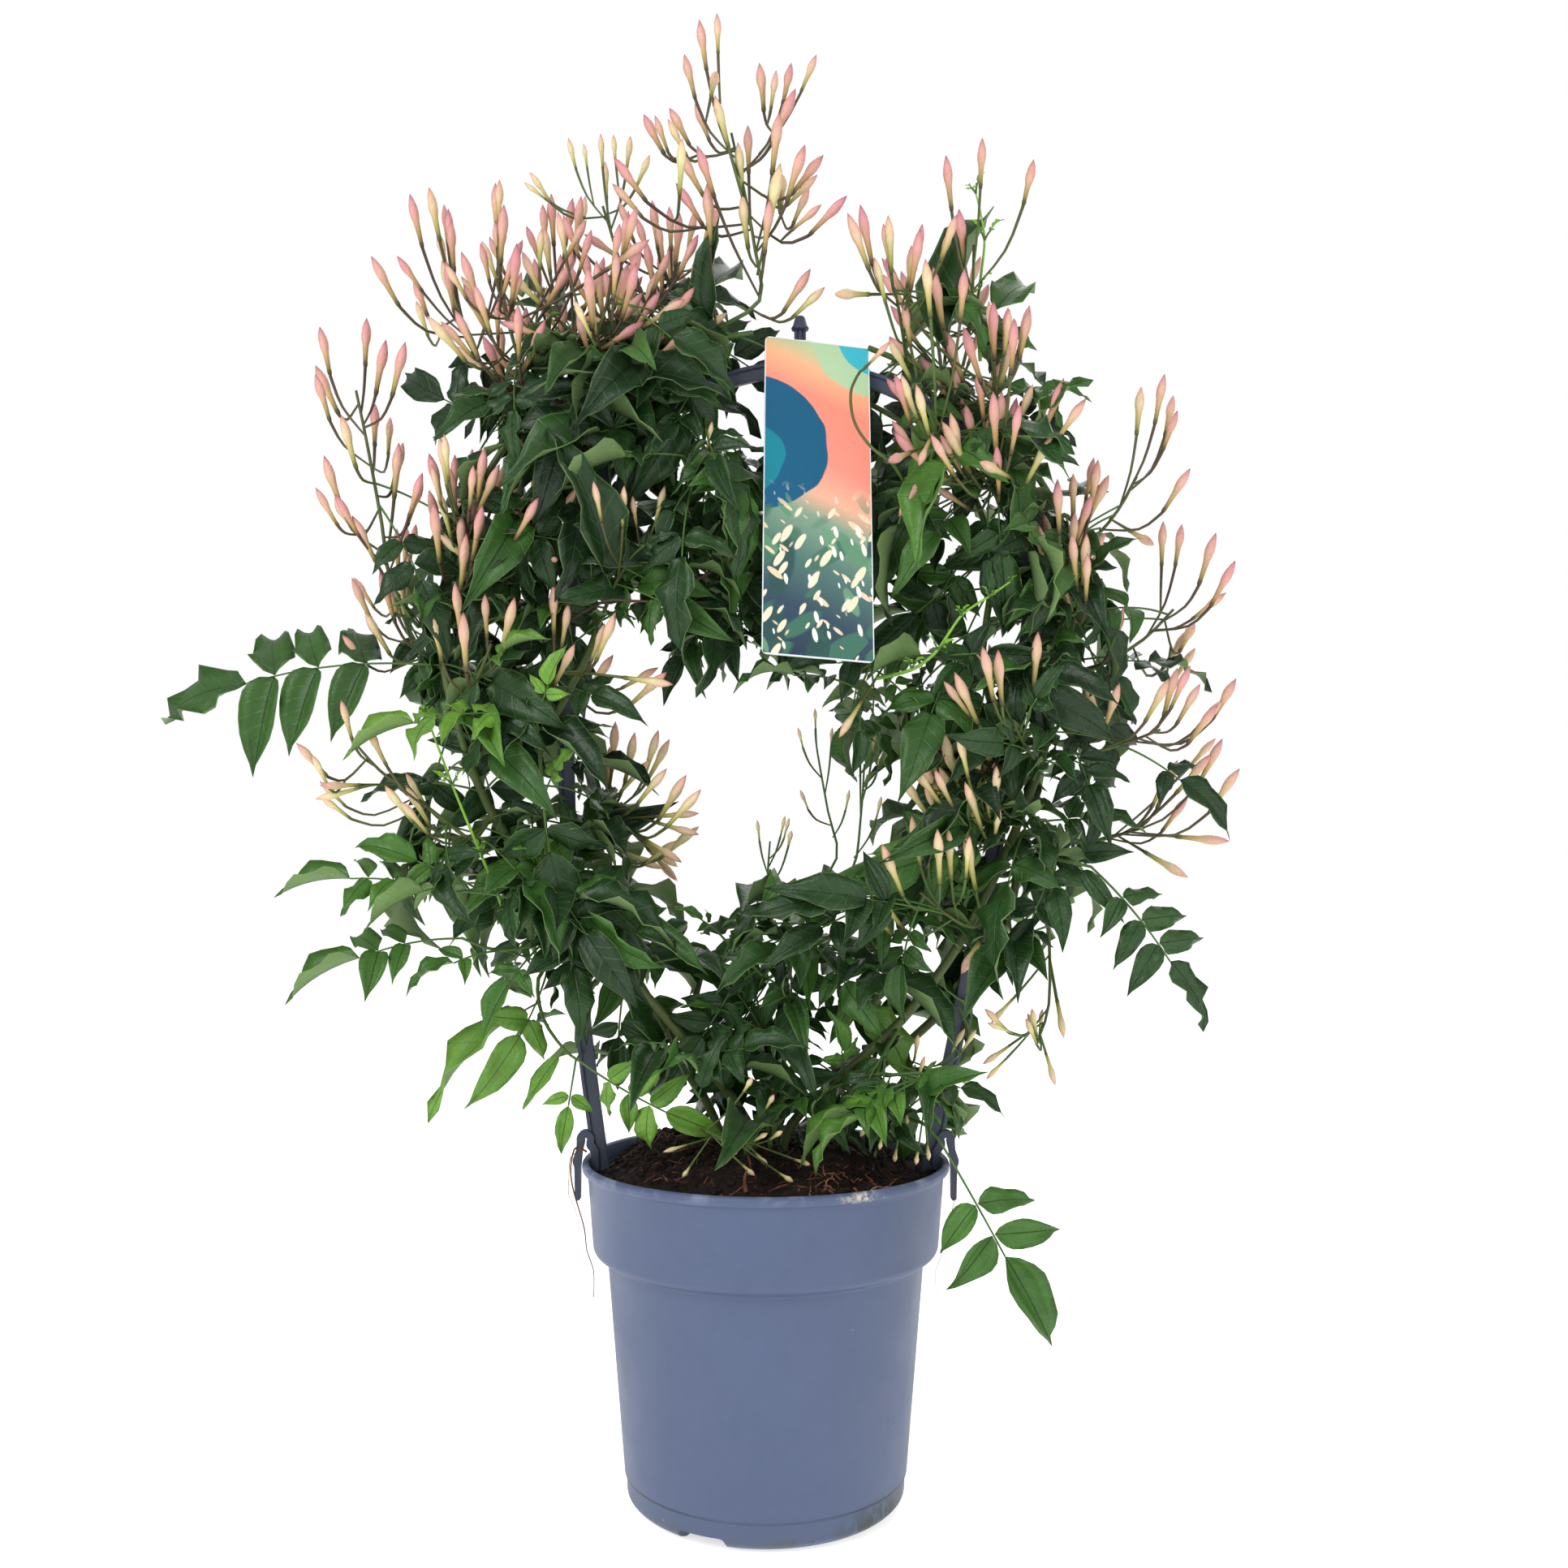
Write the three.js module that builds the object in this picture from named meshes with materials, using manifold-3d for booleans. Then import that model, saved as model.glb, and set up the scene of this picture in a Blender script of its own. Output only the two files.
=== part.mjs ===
// Pink jasmine (Jasminum polyanthum) trained round a plastic hoop in a 17 cm nursery pot.
// Millimetres, +Z up, the front towards -Y, the origin on the floor under the middle of the pot.
import * as THREE from "three";
import { mergeVertices } from "three/addons/utils/BufferGeometryUtils.js";
import Module from "manifold-3d";

const wasm = await Module();
wasm.setup();

// ---------------------------------------------------------------- driving dimensions

const GAP = 0.35; // between pieces that touch

const POT = {
  height: 157.2,
  foot: 56,
  heel: 64.2,
  seam: 64.6,
  shoulder: 73.3,
  collar: 79.9,
  mouth: 82.4,
  lip: 85,
  wall: 1.6,
  floor: 3.5,
  pad: 14,
  sides: 28,
};
const NOTCH = { count: 3, first: -26.2, width: 23, height: 6.4 };
const DRAIN = { count: 6, radius: 4, circle: 36 };

const SOIL = { edge: 149.5, middle: 161, lump: [-52, 44, 9, 22], sides: 20 };

const STRIP = { width: 7.5, depth: 3 };
const ARCH = { middle: 16, spring: 416, halfWidth: 108, rise: 108 };
const CLIP = { depth: 5, inner: 78, outer: 88.8, arm: 2.7, foot: 137, top: 170, eye: 2.4 };
const POST = { width: 5.4, depth: 2.8, foot: 523, top: 542 };
const KNOB = { radius: 4.1, crown: 1.9, height: 6.8 };

const TAG = { width: 48.8, height: 163, thickness: 0.8, corner: 2.5 };
const TAG_PLACE = { x: 23, y: -35, z: 457.5, yaw: 10.2, pitch: -19.7, roll: 4 };
const SLEEVE = { width: 9.6, front: -12, back: 4.4, low: 528.6, high: 535, play: 0.7 };

const SHOOT = { radius: 1.15, slim: 0.8, taper: 0.45, straight: 2.5 };
const LEAF = { thickness: 0.7, petiole: 1.1, rachis: 1.8, arch: 0.95, cup: 0.012 };
const BUD = { length: 25, girth: 2.5, neck: 0.95, root: 0.36, stalk: 0.62, reach: 43, straight: 19 };

// The open middle of the wreath, which nothing grows into: lowest and highest corner.
const OPENING = { low: [-27, -44, 322], high: [9, 44, 364] };

// ---------------------------------------------------------------- places

// The plant's places are read in front elevation, from an eye this far in front of the hoop and
// this high: [x, z] as they stand in the hoop's plane, and a depth y along the line of sight.
const EYE = { distance: 700, height: 297 };

function at(x, z, y = 0) {
  const scale = (EYE.distance + y) / EYE.distance;
  return new THREE.Vector3(x * scale, y, EYE.height + (z - EYE.height) * scale);
}

// The main stems: [x, z, y] from the soil up and round the hoop, and the radius at foot and end.
const VINES = {
  vine_left_outer: {
    radii: [2.5, 1.3],
    line: [[-6, 139, 4], [-8, 172, 2], [-54, 230, -11], [-92, 272, -15], [-126, 314, -13],
      [-145, 363, -7], [-152, 410, 0], [-140, 454, 5], [-117, 494, 7], [-84, 521, 4],
      [-44, 534, -7], [-6, 541, -11]],
  },
  vine_left_inner: {
    radii: [2.2, 1.2],
    line: [[-18, 141, 16], [-22, 170, 18], [-46, 216, 13], [-74, 262, 12], [-101, 300, 11],
      [-107, 338, 1], [-92, 374, -10], [-79, 404, -6], [-90, 434, 9], [-100, 462, 8],
      [-94, 484, 1], [-70, 497, -10], [-44, 503, -8], [-20, 514, -7]],
  },
  vine_right_outer: {
    radii: [2.5, 1.3],
    line: [[8, 140, -6], [12, 172, -8], [59, 216, -13], [93, 261, -16], [120, 318, -13],
      [133, 359, -8], [143, 410, 0], [137, 455, 8], [114, 490, 11], [82, 518, 9],
      [48, 534, -5]],
  },
  vine_right_inner: {
    radii: [2.4, 1.2],
    line: [[19, 140, 15], [24, 170, 16], [64, 208, 14], [97, 240, 13], [114, 272, 9],
      [117, 306, 0], [112, 345, -11], [101, 385, -7], [105, 422, 3], [102, 452, 7],
      [88, 480, 8], [66, 498, 9], [44, 510, 9]],
  },
  vine_centre: {
    radii: [1.6, 0.9],
    line: [[3, 142, 25], [8, 187, 26], [9, 232, 22], [15, 262, 19], [27, 280, 16]],
  },
};

// What grows on them, one entry for each leafy stem or spray:
//   stem    [x, z, y] along its stem, from where it leaves the vine
//   cymes   the tips of its buds, one row for each cluster, as x, z, x, z...
//   leaves  [how far along the stem, tip x, tip z, pairs of leaflets, depth of the tip from the stem]
//   size    of its buds, 1 where not given; a young spray's are smaller
const GROWTH = {
  spray_top: {
    on: "vine_left_outer",
    stem: [[-3, 556, -20], [-5, 580, -21], [-10, 607, -18], [-16, 634, -12]],
    cymes: [[-31, 690], [-38, 671, -23, 663], [12, 667, -3, 667], [-45, 646, -57, 643],
      [-71, 623, -39, 632], [27, 624, 8, 615], [38, 605], [-42, 611], [21, 571]],
    leaves: [[0.05, -21, 596, 0, -15]],
  },
  spray_top_young: {
    on: "vine_left_outer",
    size: 0.72,
    stem: [[-68, 540, 18], [-65, 560, 27], [-71, 584, 30], [-76, 600, 30]],
    cymes: [[-77, 634], [-92, 632], [-63, 633], [-110, 616]],
    leaves: [],
  },
  spray_crest_far: {
    on: "vine_left_outer",
    stem: [[-124, 508, 12], [-135, 532, 15], [-146, 556, 15]],
    cymes: [[-166, 606], [-148, 599], [-184, 577], [-164, 566], [-149, 575]],
    leaves: [[0.1, -168, 520, 1, 30]],
  },
  spray_crest_left: {
    on: "vine_left_outer",
    stem: [[-110, 514, -12], [-120, 545, -24], [-126, 566, -27]],
    cymes: [[-142, 579], [-126, 611], [-116, 583], [-158, 549], [-132, 540]],
    leaves: [[0.05, -154, 490, 2, -18], [0.3, -95, 540, 1, -27]],
  },
  spray_crest_back: {
    on: "vine_left_outer",
    stem: [[-96, 530, 33], [-96, 548, 45], [-97, 566, 51]],
    cymes: [[-104, 601], [-86, 605], [-108, 576], [-89, 583]],
    leaves: [[0.1, -118, 560, 1, 30]],
  },
  spray_crest_front: {
    on: "vine_left_outer",
    stem: [[-80, 532, -30], [-76, 548, -42], [-72, 562, -45]],
    cymes: [[-64, 598], [-83, 572], [-60, 574], [-88, 550]],
    leaves: [[0.1, -104, 512, 2, -24], [0.2, -50, 524, 1, -21]],
  },
  spray_crest_right: {
    on: "vine_left_outer",
    stem: [[-48, 548, 15], [-45, 560, 27], [-40, 574, 33]],
    cymes: [[-53, 603], [-40, 597], [-24, 600], [-28, 580], [-60, 558]],
    leaves: [[0.05, -12, 566, 1, 33]],
  },
  spray_left: {
    on: "vine_left_outer",
    stem: [[-162, 404, -9], [-175, 426, -15], [-179, 452, -18], [-186, 490, -15], [-191, 514, -12]],
    cymes: [[-208, 544], [-186, 548], [-168, 537], [-210, 522], [-206, 484], [-201, 464],
      [-182, 508], [-169, 490], [-160, 474]],
    leaves: [],
  },
  spray_left_low: {
    on: "vine_left_outer",
    stem: [[-160, 392, 12], [-168, 406, 21], [-174, 420, 27]],
    cymes: [[-168, 452], [-180, 430], [-193, 427], [-187, 411]],
    leaves: [[0.02, -283, 356, 3, 6]],
  },
  spray_left_inner: {
    on: "vine_left_outer",
    stem: [[-140, 424, -21], [-138, 440, -30], [-141, 456, -33]],
    cymes: [[-152, 493], [-131, 488], [-136, 466], [-157, 468]],
    leaves: [[0.2, -112, 446, 1, -18]],
  },
  spray_left_heart: {
    on: "vine_left_inner",
    stem: [[-112, 428, 3], [-113, 444, -6], [-112, 452, -12]],
    cymes: [[-114, 492], [-120, 466], [-99, 476], [-97, 435]],
    leaves: [[0.3, -142, 440, 1, 21]],
  },
  spray_left_face: {
    on: "vine_left_outer",
    stem: [[-136, 376, -33], [-131, 388, -45], [-128, 396, -48]],
    cymes: [[-145, 425], [-156, 412], [-117, 418]],
    leaves: [[0.1, -122, 338, 1, -18]],
  },
  spray_left_gap: {
    on: "vine_left_inner",
    stem: [[-101, 376, -21], [-96, 382, -27], [-86, 383, -30]],
    cymes: [[-70, 411], [-99, 424], [-71, 391], [-46, 383]],
    leaves: [[0.5, -54, 358, 1, -15]],
  },
  spray_gap_left: {
    on: "vine_left_inner",
    stem: [[-90, 308, 3], [-78, 312, -3], [-67, 322, -6]],
    cymes: [[-70, 360], [-50, 356], [-37, 335], [-31, 311], [-41, 292]],
    leaves: [[0.3, -40, 322, 0, -15]],
  },
  spray_reach: {
    on: "vine_left_outer",
    size: 0.8,
    stem: [[-137, 305, -24], [-150, 314, -27], [-168, 328, -33], [-180, 337, -36], [-190, 348, -36]],
    cymes: [[-198, 370], [-219, 350], [-208, 330], [-168, 330]],
    leaves: [[0.2, -150, 290, 1, 18]],
  },
  spray_tag_left: {
    on: "vine_left_inner",
    stem: [[-70, 424, -24], [-63, 436, -33]],
    cymes: [[-66, 470], [-47, 470]],
    leaves: [[0.6, -103, 500, 0, -18], [1, -40, 448, 1, -12]],
  },
  spray_right_high: {
    on: "vine_right_outer",
    stem: [[92, 526, 6], [96, 552, 0], [97, 582, -3]],
    cymes: [[84, 624], [101, 632], [125, 622], [78, 572]],
    leaves: [[0.1, 107, 600, 0, 36]],
  },
  spray_right_crest: {
    on: "vine_right_outer",
    stem: [[62, 552, -21], [60, 562, -24]],
    cymes: [[44, 601], [57, 596], [72, 590], [32, 559]],
    leaves: [],
  },
  spray_right_back: {
    on: "vine_right_outer",
    stem: [[80, 538, 36], [78, 548, 45]],
    cymes: [[56, 576], [88, 582], [104, 564]],
    leaves: [[0.4, 124, 560, 1, 30]],
  },
  spray_right_shoulder: {
    on: "vine_right_outer",
    stem: [[108, 504, -9], [106, 518, -15]],
    cymes: [[106, 556], [123, 552], [84, 542], [72, 530]],
    leaves: [[0.1, 152, 509, 2, 15], [0.4, 66, 512, 1, -21]],
  },
  spray_right_inner: {
    on: "vine_right_inner",
    stem: [[106, 470, -21], [108, 480, -27]],
    cymes: [[110, 514], [139, 520], [134, 494], [86, 504]],
    leaves: [[0.3, 136, 470, 1, -18], [0.3, 72, 454, 1, -18]],
  },
  spray_tag_right: {
    on: "vine_right_inner",
    stem: [[84, 492, -15], [78, 490, -33]],
    cymes: [[57, 481], [60, 522], [66, 462]],
    leaves: [],
  },
  spray_far_right_top: {
    on: "vine_right_outer",
    stem: [[152, 446, 12], [164, 458, 12], [173, 474, 12]],
    cymes: [[175, 516], [190, 512], [198, 478], [181, 442]],
    leaves: [[0.2, 168, 420, 1, 24]],
  },
  spray_right_mid: {
    on: "vine_right_outer",
    stem: [[138, 422, -21], [139, 432, -27]],
    cymes: [[155, 482], [136, 473], [148, 458], [127, 452]],
    leaves: [[0.3, 176, 446, 2, -18], [0.3, 112, 408, 1, -21]],
  },
  spray_far_right: {
    on: "vine_right_outer",
    stem: [[156, 386, 6], [176, 398, 12], [190, 412, 15]],
    cymes: [[194, 452], [210, 448], [219, 435], [200, 406], [167, 413]],
    leaves: [[0.3, 207, 374, 1, 15]],
  },
  spray_right_out: {
    on: "vine_right_outer",
    stem: [[150, 346, -15], [168, 350, -18], [184, 356, -21]],
    cymes: [[221, 380], [211, 368], [192, 385], [165, 378]],
    leaves: [[0.7, 217, 305, 1, -9], [0.3, 160, 300, 2, -21]],
  },
  spray_right_low: {
    on: "vine_right_outer",
    stem: [[136, 300, 6], [155, 304, 12], [175, 310, 15]],
    cymes: [[213, 352], [221, 338], [192, 342], [219, 304], [197, 287]],
    leaves: [[0.3, 150, 262, 1, 15]],
  },
  spray_gap_right: {
    on: "vine_right_inner",
    stem: [[104, 312, -21], [98, 318, -27]],
    cymes: [[98, 352], [80, 350], [63, 334]],
    leaves: [[0.5, 60, 300, 1, -15]],
  },
  spray_gap_low: {
    on: "vine_right_inner",
    stem: [[97, 264, -33], [84, 270, -40], [72, 280, -44]],
    cymes: [[68, 316], [85, 310], [54, 303], [48, 283], [91, 242]],
    leaves: [[0.2, 116, 228, 1, -12]],
  },
  spray_right_face: {
    on: "vine_right_outer",
    stem: [[120, 350, -36], [115, 360, -45]],
    cymes: [[127, 402], [101, 395], [88, 383]],
    leaves: [[0.5, 82, 352, 1, -12], [0.2, 146, 330, 2, -15], [0.8, 140, 388, 1, -6]],
  },
  spray_hang: {
    on: "vine_right_outer",
    size: 0.72,
    stem: [[130, 290, -3], [132, 262, 0], [132, 228, 0], [126, 209, -3]],
    cymes: [[102, 226], [124, 226], [139, 212], [135, 190], [101, 200]],
    leaves: [],
  },
  shoot_opening_middle: {
    on: "vine_centre",
    size: 0.4,
    stem: [[33, 296, 14], [29, 318, 12], [24, 346, 12], [23, 356, 12]],
    cymes: [[23, 366], [15, 357], [31, 357], [16, 328], [39, 328]],
    leaves: [],
  },
  shoot_opening_right: {
    on: "vine_centre",
    size: 0.45,
    stem: [[40, 290, 5], [44, 312, 5], [46, 340, 5]],
    cymes: [[44, 356], [54, 344], [54, 325]],
    leaves: [],
  },
  shoot_opening_left: {
    on: "vine_centre",
    size: 0.4,
    stem: [[3, 266, 16], [1, 286, 14], [2, 304, 14]],
    cymes: [[-4, 314], [11, 315]],
    leaves: [],
  },
  spray_soil: {
    on: "vine_left_outer",
    size: 0.5,
    stem: [[-12, 170, -30], [-22, 166, -48], [-31, 170, -57]],
    cymes: [[-48, 159], [-14, 158]],
    leaves: [[0.3, -22, 149, 0, -16]],
  },
  spray_soil_right: {
    on: "vine_right_inner",
    size: 0.6,
    stem: [[70, 192, -6], [82, 198, -9]],
    cymes: [[71, 214], [93, 217], [98, 190]],
    leaves: [[0.6, 112, 175, 1, -6]],
  },
  shoot_left_front: {
    on: "vine_left_outer",
    stem: [[-102, 290, -34], [-104, 330, -41], [-107, 362, -44]],
    cymes: [],
    leaves: [[1, -197, 342, 3, -7], [0.98, -92, 396, 1, -9], [0.4, -88, 310, 1, -2]],
  },
  shoot_left_low: {
    on: "vine_left_outer",
    stem: [[-102, 258, -28], [-124, 253, -34], [-142, 259, -39]],
    cymes: [],
    leaves: [[1, -224, 228, 2, -12], [0.75, -168, 232, 1, -16]],
  },
  shoot_left_mid: {
    on: "vine_left_outer",
    stem: [[-122, 286, -32], [-138, 281, -39], [-150, 280, -41]],
    cymes: [],
    leaves: [[1, -229, 278, 2, -5], [0.7, -191, 302, 1, 5], [0.6, -187, 262, 1, -16]],
  },
  shoot_left_drop: {
    on: "vine_left_outer",
    stem: [[-98, 250, -39], [-106, 240, -46], [-104, 222, -51], [-94, 207, -54], [-86, 201, -55]],
    cymes: [],
    leaves: [[1, -18, 166, 3, -16], [0.4, -140, 178, 1, -2], [0.6, -157, 172, 0, 2], [0.95, -96, 158, 1, -2]],
  },
  shoot_base_left: {
    on: "vine_left_inner",
    stem: [[-40, 200, -23], [-33, 188, -37], [-30, 183, -41]],
    cymes: [],
    leaves: [[0.9, -18, 216, 0, 5], [0.5, 21, 206, 2, -5], [0.3, -64, 178, 1, -16]],
  },
  shoot_soil_right: {
    on: "vine_right_outer",
    stem: [[52, 196, -30], [70, 196, -41], [82, 194, -46]],
    cymes: [],
    leaves: [[0.9, 23, 147, 2, -16], [0.98, 76, 164, 0, -9]],
  },
  shoot_over_rim: {
    on: "vine_right_outer",
    stem: [[64, 176, -34], [74, 172, -53], [82, 163, -64]],
    cymes: [],
    leaves: [[1, 133, 68, 2, -9]],
  },
  shoot_right_droop: {
    on: "vine_right_outer",
    stem: [[132, 298, -25], [144, 294, -32], [152, 292, -34]],
    cymes: [],
    leaves: [[1, 205, 216, 3, -7], [0.8, 168, 266, 0, -5], [0.4, 140, 252, 1, -9]],
  },
  shoot_centre_low: {
    on: "vine_centre",
    stem: [[18, 254, -2], [34, 262, -16], [50, 272, -23], [60, 277, -25]],
    cymes: [],
    leaves: [[1, 12, 253, 1, -12], [0.95, 55, 240, 0, -7], [0.8, 91, 252, 1, -9], [0.45, 57, 211, 1, -12]],
  },
  shoot_centre_left: {
    on: "vine_centre",
    stem: [[1, 240, 2], [-10, 250, -5], [-20, 259, -9]],
    cymes: [],
    leaves: [[1, -44, 273, 1, -7], [0.75, 18, 272, 1, -14]],
  },
  shoot_centre_base: {
    on: "vine_centre",
    stem: [[2, 212, 5], [-6, 218, -5], [-14, 222, -9]],
    cymes: [],
    leaves: [[1, -40, 226, 1, -7], [0.4, 30, 214, 1, -12]],
  },
  shoot_top: {
    on: "vine_left_inner",
    stem: [[-28, 498, -21], [-30, 484, -28], [-34, 470, -30]],
    cymes: [[-25, 500]],
    leaves: [[0.2, -58, 478, 1, -9], [0.7, 6, 480, 0, 16], [0.95, -12, 438, 1, -5]],
  },
  shoot_opening_top: {
    on: "vine_left_inner",
    stem: [[-36, 484, 12], [-38, 454, 16], [-32, 426, 12], [-28, 406, 7]],
    cymes: [],
    leaves: [[1, -48, 367, 1, -7], [0.98, 10, 374, 1, -9], [0.7, 2, 408, 1, -12]],
  },
  shoot_opening_side: {
    on: "vine_right_inner",
    stem: [[84, 390, -16], [62, 389, -21], [44, 384, -23], [44, 372, -24]],
    cymes: [],
    leaves: [[1, 40, 334, 1, -7], [0.75, 76, 356, 1, -9], [0.4, 84, 420, 1, -7]],
  },
};

// Leaves set straight on a main stem: where along it they sit, opposite one another, each pair
// turned a quarter from the last, and how long they are.
const VINE_LEAVES = {
  vine_left_outer: { from: 0.2, to: 0.95, pairs: 2, length: 60 },
  vine_left_inner: { from: 0.2, to: 0.95, pairs: 2, length: 54 },
  vine_right_outer: { from: 0.2, to: 0.95, pairs: 2, length: 60 },
  vine_right_inner: { from: 0.2, to: 0.95, pairs: 2, length: 54 },
};

// ---------------------------------------------------------------- solids

// Park and Miller's generator, so that every build draws the same plant.
let state = 7919;
function draw(low, high) {
  state = (state * 48271) % 2147483647;
  return low + ((high - low) * state) / 2147483647;
}

function solidOf(vertices, faces) {
  return new wasm.Manifold(
    new wasm.Mesh({
      numProp: 3,
      vertProperties: new Float32Array(vertices.flatMap((v) => [v.x, v.y, v.z])),
      triVerts: new Uint32Array(faces.flat()),
    }),
  );
}

function solidFrom(geometry) {
  const bare = geometry.index ? geometry.clone() : geometry;
  bare.deleteAttribute("normal");
  bare.deleteAttribute("uv");
  const merged = mergeVertices(bare, 1e-4);
  const places = merged.attributes.position;
  const vertices = [];
  for (let i = 0; i < places.count; i++) vertices.push(new THREE.Vector3().fromBufferAttribute(places, i));
  const faces = [];
  for (let i = 0; i < merged.index.count; i += 3) {
    const face = [0, 1, 2].map((k) => merged.index.getX(i + k));
    if (new Set(face).size === 3) faces.push(face);
  }
  return solidOf(vertices, faces);
}

function union(solids) {
  return solids.reduce((sum, solid) => sum.add(solid));
}

// The largest body of a solid, without any loose scrap.
function wholeOf(solid) {
  return solid.decompose().reduce((a, b) => (b.volume() > a.volume() ? b : a));
}

const root = new THREE.Group();

function addMesh(name, solid, color, roughness, metalness = 0) {
  const made = solid.getMesh();
  const geometry = new THREE.BufferGeometry();
  geometry.setAttribute("position", new THREE.BufferAttribute(made.vertProperties, 3));
  geometry.setIndex(new THREE.BufferAttribute(made.triVerts, 1));
  const material = new THREE.MeshStandardMaterial({ color, roughness, metalness });
  const mesh = new THREE.Mesh(geometry, material);
  mesh.name = name;
  root.add(mesh);
}

const COLOURS = {
  pot: [0x62718f, 0.45],
  soil: [0x2b1d16, 0.95],
  hoop: [0x4f5567, 0.5],
  tag: [0xe0906f, 0.35],
  leaf: [0x2f5a2e, 0.45],
  bud: [0xe0a0a4, 0.55],
};

// A line through points, rounded by a point of the smooth curve halfway along each stretch.
function spline(points) {
  const line = [points[0]];
  for (let i = 0; i < points.length - 1; i++) {
    const before = points[Math.max(i - 1, 0)];
    const [a, b] = [points[i], points[i + 1]];
    const after = points[Math.min(i + 2, points.length - 1)];
    const inner = a.clone().add(b).multiplyScalar(9 / 16);
    line.push(inner.addScaledVector(before, -1 / 16).addScaledVector(after, -1 / 16), b);
  }
  return line;
}

function along(line, fraction) {
  const place = fraction * (line.length - 1);
  const i = Math.min(Math.floor(place), line.length - 2);
  return line[i].clone().lerp(line[i + 1], place - i);
}

// A closed tube of flat sides along a line, with a radius at each point; 0 ends it in a tip.
function tube(line, radii, sides) {
  const vertices = [];
  const faces = [];
  const rings = [];
  const last = line.length - 1;
  const start = line[1].clone().sub(line[0]);
  const steep = Math.abs(start.y) > 0.8 * start.length();
  const side = new THREE.Vector3(steep ? 1 : 0, steep ? 0 : 1, 0);
  line.forEach((point, i) => {
    const ahead = line[Math.min(i + 1, last)].clone().sub(line[Math.max(i - 1, 0)]).normalize();
    side.addScaledVector(ahead, -side.dot(ahead)).normalize();
    const across = ahead.clone().cross(side);
    const corners = radii[i] > 0 ? sides : 1;
    rings.push([]);
    for (let k = 0; k < corners; k++) {
      const angle = (2 * Math.PI * k) / sides;
      const corner = point.clone().addScaledVector(side, radii[i] * Math.cos(angle));
      corner.addScaledVector(across, radii[i] * Math.sin(angle));
      rings[i].push(vertices.push(corner) - 1);
    }
  });
  for (let k = 1; k < sides - 1; k++) faces.push([rings[0][0], rings[0][k + 1], rings[0][k]]);
  for (let i = 0; i < last; i++) {
    for (let k = 0; k < sides; k++) {
      const [a, b] = [rings[i][k], rings[i][(k + 1) % sides]];
      if (rings[i + 1].length === 1) {
        faces.push([a, b, rings[i + 1][0]]);
      } else {
        const [c, d] = [rings[i + 1][(k + 1) % sides], rings[i + 1][k]];
        faces.push([a, b, c], [a, c, d]);
      }
    }
  }
  const end = rings[last];
  for (let k = 1; k < end.length - 1; k++) faces.push([end[0], end[k], end[k + 1]]);
  return solidOf(vertices, faces);
}

// ---------------------------------------------------------------- pot, soil, hoop and tag

function lathe(profile, sides) {
  return solidFrom(new THREE.LatheGeometry(profile.map(([r, z]) => new THREE.Vector2(r, z)), sides)
    .rotateX(Math.PI / 2));
}

function box(width, depth, height) {
  return new THREE.BoxGeometry(width, depth, height);
}

function makePot() {
  const { foot, heel, seam, shoulder, collar, mouth, lip, wall, floor, pad, height, sides } = POT;
  const outside = [[0, 0], [pad, 0], [pad + 1.5, floor], [foot - 6, floor], [foot - 4, 0], [foot, 0],
    [heel - 2.6, 2.2], [heel, 4.8], [seam, 13.7], [seam + 0.8, 14.1], [shoulder, 113], [collar - 1, 115.6],
    [collar, 117.6], [mouth, 151.6], [lip, 152.8], [lip, 155.8], [lip - 1.4, height]];
  const inside = [[lip - 3, height - 0.6], [mouth - wall, 151], [collar - wall, 118.4],
    [shoulder - wall, 114.4], [heel - wall, 7.5], [heel - 5, floor + 2], [0, floor + 2]];
  let pot = lathe([...outside, ...inside], sides);
  for (let i = 0; i < NOTCH.count; i++) {
    const turn = THREE.MathUtils.degToRad(NOTCH.first) - (i * 2 * Math.PI) / NOTCH.count;
    const cut = box(NOTCH.width, 18, 2 * NOTCH.height).translate(0, -(foot + 4), 0).rotateZ(turn);
    pot = pot.subtract(solidFrom(cut));
  }
  for (let i = 0; i < DRAIN.count; i++) {
    const turn = ((i + 0.5) * 2 * Math.PI) / DRAIN.count;
    const hole = new THREE.CylinderGeometry(DRAIN.radius, DRAIN.radius, 12, 6).rotateX(Math.PI / 2);
    hole.translate(DRAIN.circle * Math.cos(turn), DRAIN.circle * Math.sin(turn), floor + 1);
    pot = pot.subtract(solidFrom(hole));
  }
  return pot;
}

// The soil's surface: level at the wall, raised in the middle, with one clod at the back.
function soilHeight(x, y) {
  const radius = Math.hypot(x, y) / POT.mouth;
  const [lumpX, lumpY, lump, spread] = SOIL.lump;
  const clod = lump * Math.exp(-((x - lumpX) ** 2 + (y - lumpY) ** 2) / spread ** 2);
  const edge = Math.max(0, 1 - radius);
  const crumbs = 1.2 * Math.sin(0.31 * x + 1) * Math.cos(0.27 * y) * Math.min(1, 5 * edge);
  const mound = (SOIL.middle - SOIL.edge) * Math.min(1, 1.6 * edge);
  return SOIL.edge + mound + clod * Math.min(1, 6 * edge) + crumbs;
}

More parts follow.
